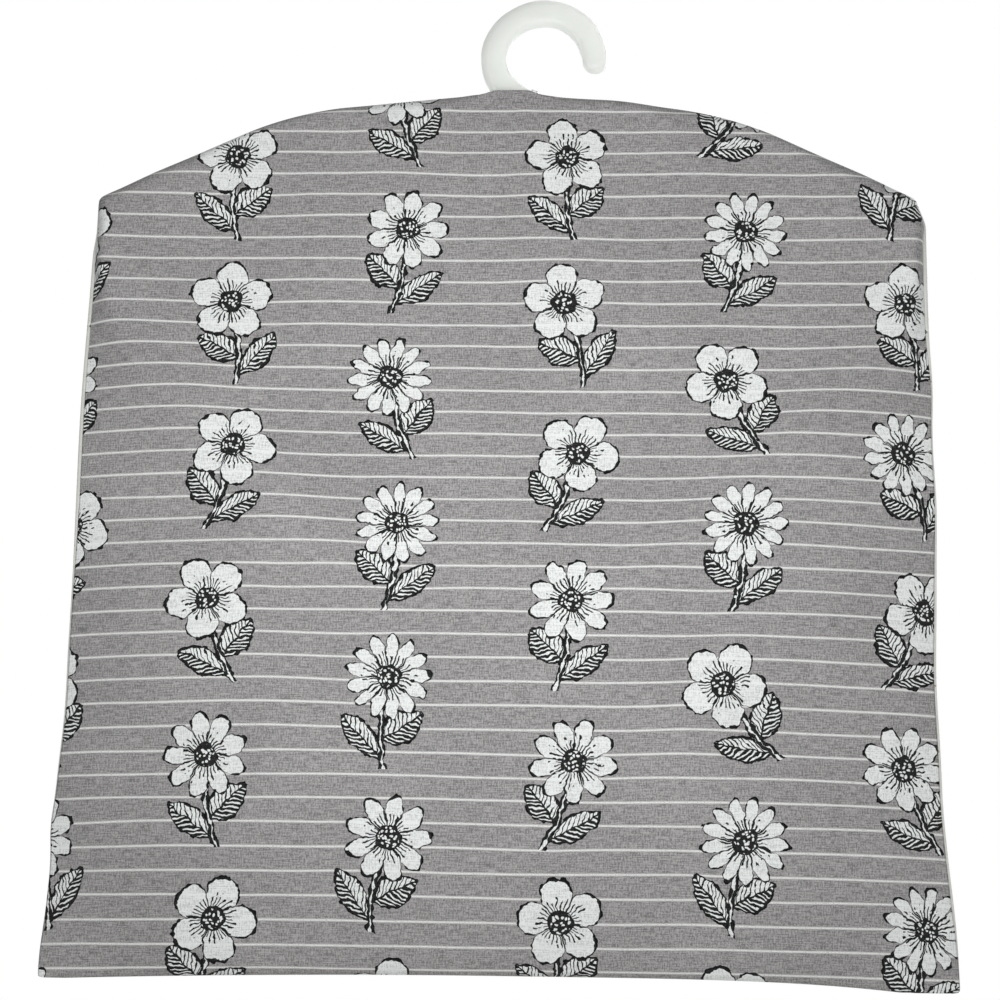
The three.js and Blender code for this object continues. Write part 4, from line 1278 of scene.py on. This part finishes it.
def moulded_plate(loops, thickness, edge):
    """Points and faces of a plate in the XZ plane with rounded edges. The first loop runs
    counter-clockwise and the others, its holes, clockwise."""
    vertices, faces, rims = [], [], ([], [])
    turns = np.radians(np.linspace(90, 0, EDGE_STEPS + 1))
    levels = [(-thickness / 2 + edge * (1 - math.sin(t)), edge * (1 - math.cos(t))) for t in turns]
    levels += [(-y, step_in) for y, step_in in reversed(levels)]
    for loop in loops:
        count, start = len(loop), len(vertices)
        for y, step_in in levels:
            vertices += [(x, y, z) for x, z in inset_loop(loop, step_in)]
        faces += ring_faces(start, len(levels), count)
        rims[0].append(range(start, start + count))
        rims[1].append(range(start + (len(levels) - 1) * count, start + len(levels) * count))
    for rings in rims:
        numbers = [n for ring in rings for n in ring]
        outline = [[Vector((vertices[n][0], vertices[n][2], 0)) for n in ring] for ring in rings]
        faces += [tuple(numbers[k] for k in corner) for corner in geometry.tessellate_polygon(outline)]
    return vertices, faces


def twice_area(loop):
    """Twice the area of a loop, positive where it runs counter-clockwise."""
    after = np.roll(loop, -1, axis=0)
    return float(np.sum(loop[:, 0] * after[:, 1] - after[:, 0] * loop[:, 1]))


print("rings round an edge:", EDGE_STEPS + 1)

# %% Hook outline
HOOK_INNER, HOOK_BAR, HOOK_TIP_BAR = 13.75, 10.25, 9.5
HOOK_CENTRE = np.array((12.5, ARM_TOP + 16.6))
HOOK_TIP, HOOK_ROOT, HOOK_TAPER = (math.radians(turn) for turn in (-2, 262, 14))


def hook_loop():
    """The hook as a ring from its tip over the crown to its root, with a small waver as moulded."""
    outer_turn, inner_turn = np.linspace(HOOK_TIP, HOOK_ROOT, 110), np.linspace(HOOK_ROOT, HOOK_TIP, 90)
    waver = 0.08 * np.sin(5 * outer_turn) + 0.05 * np.sin(11 * outer_turn + 1)
    outer_radius = HOOK_INNER + HOOK_BAR + waver
    narrowing = (HOOK_BAR - HOOK_TIP_BAR) * smooth(HOOK_TAPER, HOOK_TIP, inner_turn)
    inner_radius = HOOK_INNER + narrowing + 0.07 * np.sin(6 * inner_turn + 0.5)
    outer = np.stack((np.cos(outer_turn), np.sin(outer_turn)), -1) * outer_radius[:, None]
    inner = np.stack((np.cos(inner_turn), np.sin(inner_turn)), -1) * inner_radius[:, None]
    swing = np.radians(np.linspace(0, 180, 22)[1:-1])[:, None]
    middle, reach = (outer[0] + inner[-1]) / 2, (outer[0] - inner[-1]) / 2
    down = np.array((reach[1], -reach[0]))
    tip_round = middle - reach * np.cos(swing) + down * np.sin(swing)
    return np.concatenate((outer, inner, tip_round)) + HOOK_CENTRE


hook = hook_loop()
print("hook outline:", len(hook), "points, counter-clockwise:", twice_area(hook) > 0)

# %% Arm outlines
# Where an arm's rounded tip starts, how far the tip reaches, and how far it hangs.
TIP_START, TIP_REACH, TIP_SAG = 145.0, 5.0, 1.1
# The hollows: rim round them and rib between them, where they start and stop, and how many.
RIM, BAY_START, BAY_STOP, BAYS = 2.4, 34, 12, 3
# The block between the hook's root and the arms.
ROOT_LEFT, ROOT_RIGHT, ROOT_CREST, ROOT_DROP, ROOT_SINK = -6, 26.1, 12, 8, 0.8


def arms_loop(step_in):
    """Both arms in one outline, counter-clockwise, with rounded tips."""
    x = np.linspace(-TIP_START, TIP_START, 120)
    top = np.stack((x[::-1], arm_top(x[::-1]) - step_in), -1)
    bottom = np.stack((x, arm_bottom(x) + step_in), -1)
    swing = np.radians(np.linspace(-90, 90, 16)[1:-1])
    high, low = arm_top(TIP_START), arm_bottom(TIP_START)
    tip_z = (high + low) / 2 + ((high - low) / 2 - step_in) * np.sin(swing) - TIP_SAG * np.cos(swing)
    right_tip = np.stack((TIP_START + (TIP_REACH - step_in) * np.cos(swing), tip_z), -1)
    left_tip = right_tip[::-1] * np.array((-1, 1))
    return np.concatenate((bottom, right_tip, top, left_tip))


def hollow_loop(side, start, end):
    """One hollow between the ribs, clockwise."""
    x = np.linspace(start, end, 16)
    top = np.stack((side * x, arm_top(x) - RIM), -1)
    bottom = np.stack((side * x[::-1], arm_bottom(x[::-1]) + RIM), -1)
    loop = np.concatenate((top, bottom))
    return loop if twice_area(loop) < 0 else loop[::-1]


bay = (ARM_HALF - BAY_STOP - BAY_START + RIM) / BAYS
starts = [BAY_START + i * bay for i in range(BAYS)]
hollows = [hollow_loop(side, start, start + bay - RIM) for side in (-1, 1) for start in starts]
root_block = np.array((
    (ROOT_LEFT, ARM_TOP - ROOT_DROP), (ROOT_RIGHT, ARM_TOP - ROOT_DROP),
    (ROOT_RIGHT, float(arm_top(ROOT_RIGHT)) - ROOT_SINK), (ROOT_CREST, ARM_TOP), (ROOT_LEFT, ARM_TOP)))
print("hollows:", len(hollows), "between ribs", round(bay, 1), "mm apart")

# %% [markdown]
# ### Polypropylene
#
# Natural white polypropylene is translucent: light spreads far inside a thin part, so its shadows
# stay pale and its edges look soft. The mould leaves a satin surface with broad highlights, and a
# faint line runs round the edge where the two halves of the mould met.

# %% Polypropylene
GRIT, FLOW_MARK, PARTING_LINE = 0.6, 14, 0.25

polypropylene, tree = new_material("moulded_white_polypropylene")
# Satin and faintly waxy: pale shadows from the light inside, soft flow marks, a fine grit.
place = add(tree, "TexCoord").outputs["Object"]
spark = add(tree, "TexNoise", {"Vector": place, "Scale": 1 / (GRIT * MM), "Detail": 2.0})
flow = add(tree, "TexNoise", {
    "Vector": place, "Scale": 1 / (FLOW_MARK * MM), "Detail": 2.0, "Distortion": 0.6})
plastic_colour = add(tree, "Mix", {0: flow, 6: linear("#e0eede"), 7: linear("#e9f4e7")}, data_type="RGBA")
plastic_rough = add(tree, "MapRange", flow, 0.3, 0.7, 0.36, 0.46)
parting_far = add(tree, "Math ABSOLUTE", add(tree, "SeparateXYZ", place).outputs[1])
parting = add(tree, "MapRange", parting_far, 0.0, PARTING_LINE * MM, 1.0, 0.0)
relief = add(tree, "Math MULTIPLY_ADD", spark, 0.12, parting)
mould_bump = add(tree, "Bump", {"Height": relief, "Strength": 0.5, "Distance": 0.12 * MM})
plastic = add(tree, "BsdfPrincipled", {
    "Base Color": plastic_colour.outputs[2], "Roughness": plastic_rough, "Normal": mould_bump, "IOR": 1.49,
    "Subsurface Weight": 1.0, "Subsurface Radius": (1.0, 1.0, 0.95), "Subsurface Scale": 0.03})
add(tree, "OutputMaterial", plastic)
print("polypropylene:", len(tree.nodes), "nodes")

# %% Hanger
vertices, faces = [], []
# Each plate: its outlines, thickness and edge radius. The arms are a pair of ribbed faces on a web.
for loops, thickness, edge in (
        ([hook], 6.0, 2.6), ([arms_loop(0)] + hollows, 8.0, 0.7),
        ([arms_loop(1.2)], 2.4, 0.3), ([root_block], 5.6, 0.3)):
    plate_vertices, plate_faces = moulded_plate(loops, thickness, edge)
    start = len(vertices)
    vertices += plate_vertices
    faces += [tuple(start + n for n in face) for face in plate_faces]
hanger_moulding = new_piece(
    "hanger_moulding", to_frame(vertices), faces, np.zeros((len(vertices), 2)), (polypropylene,))
face_out(hanger_moulding)
hand_over(hanger_moulding, "hanger", "hanger")
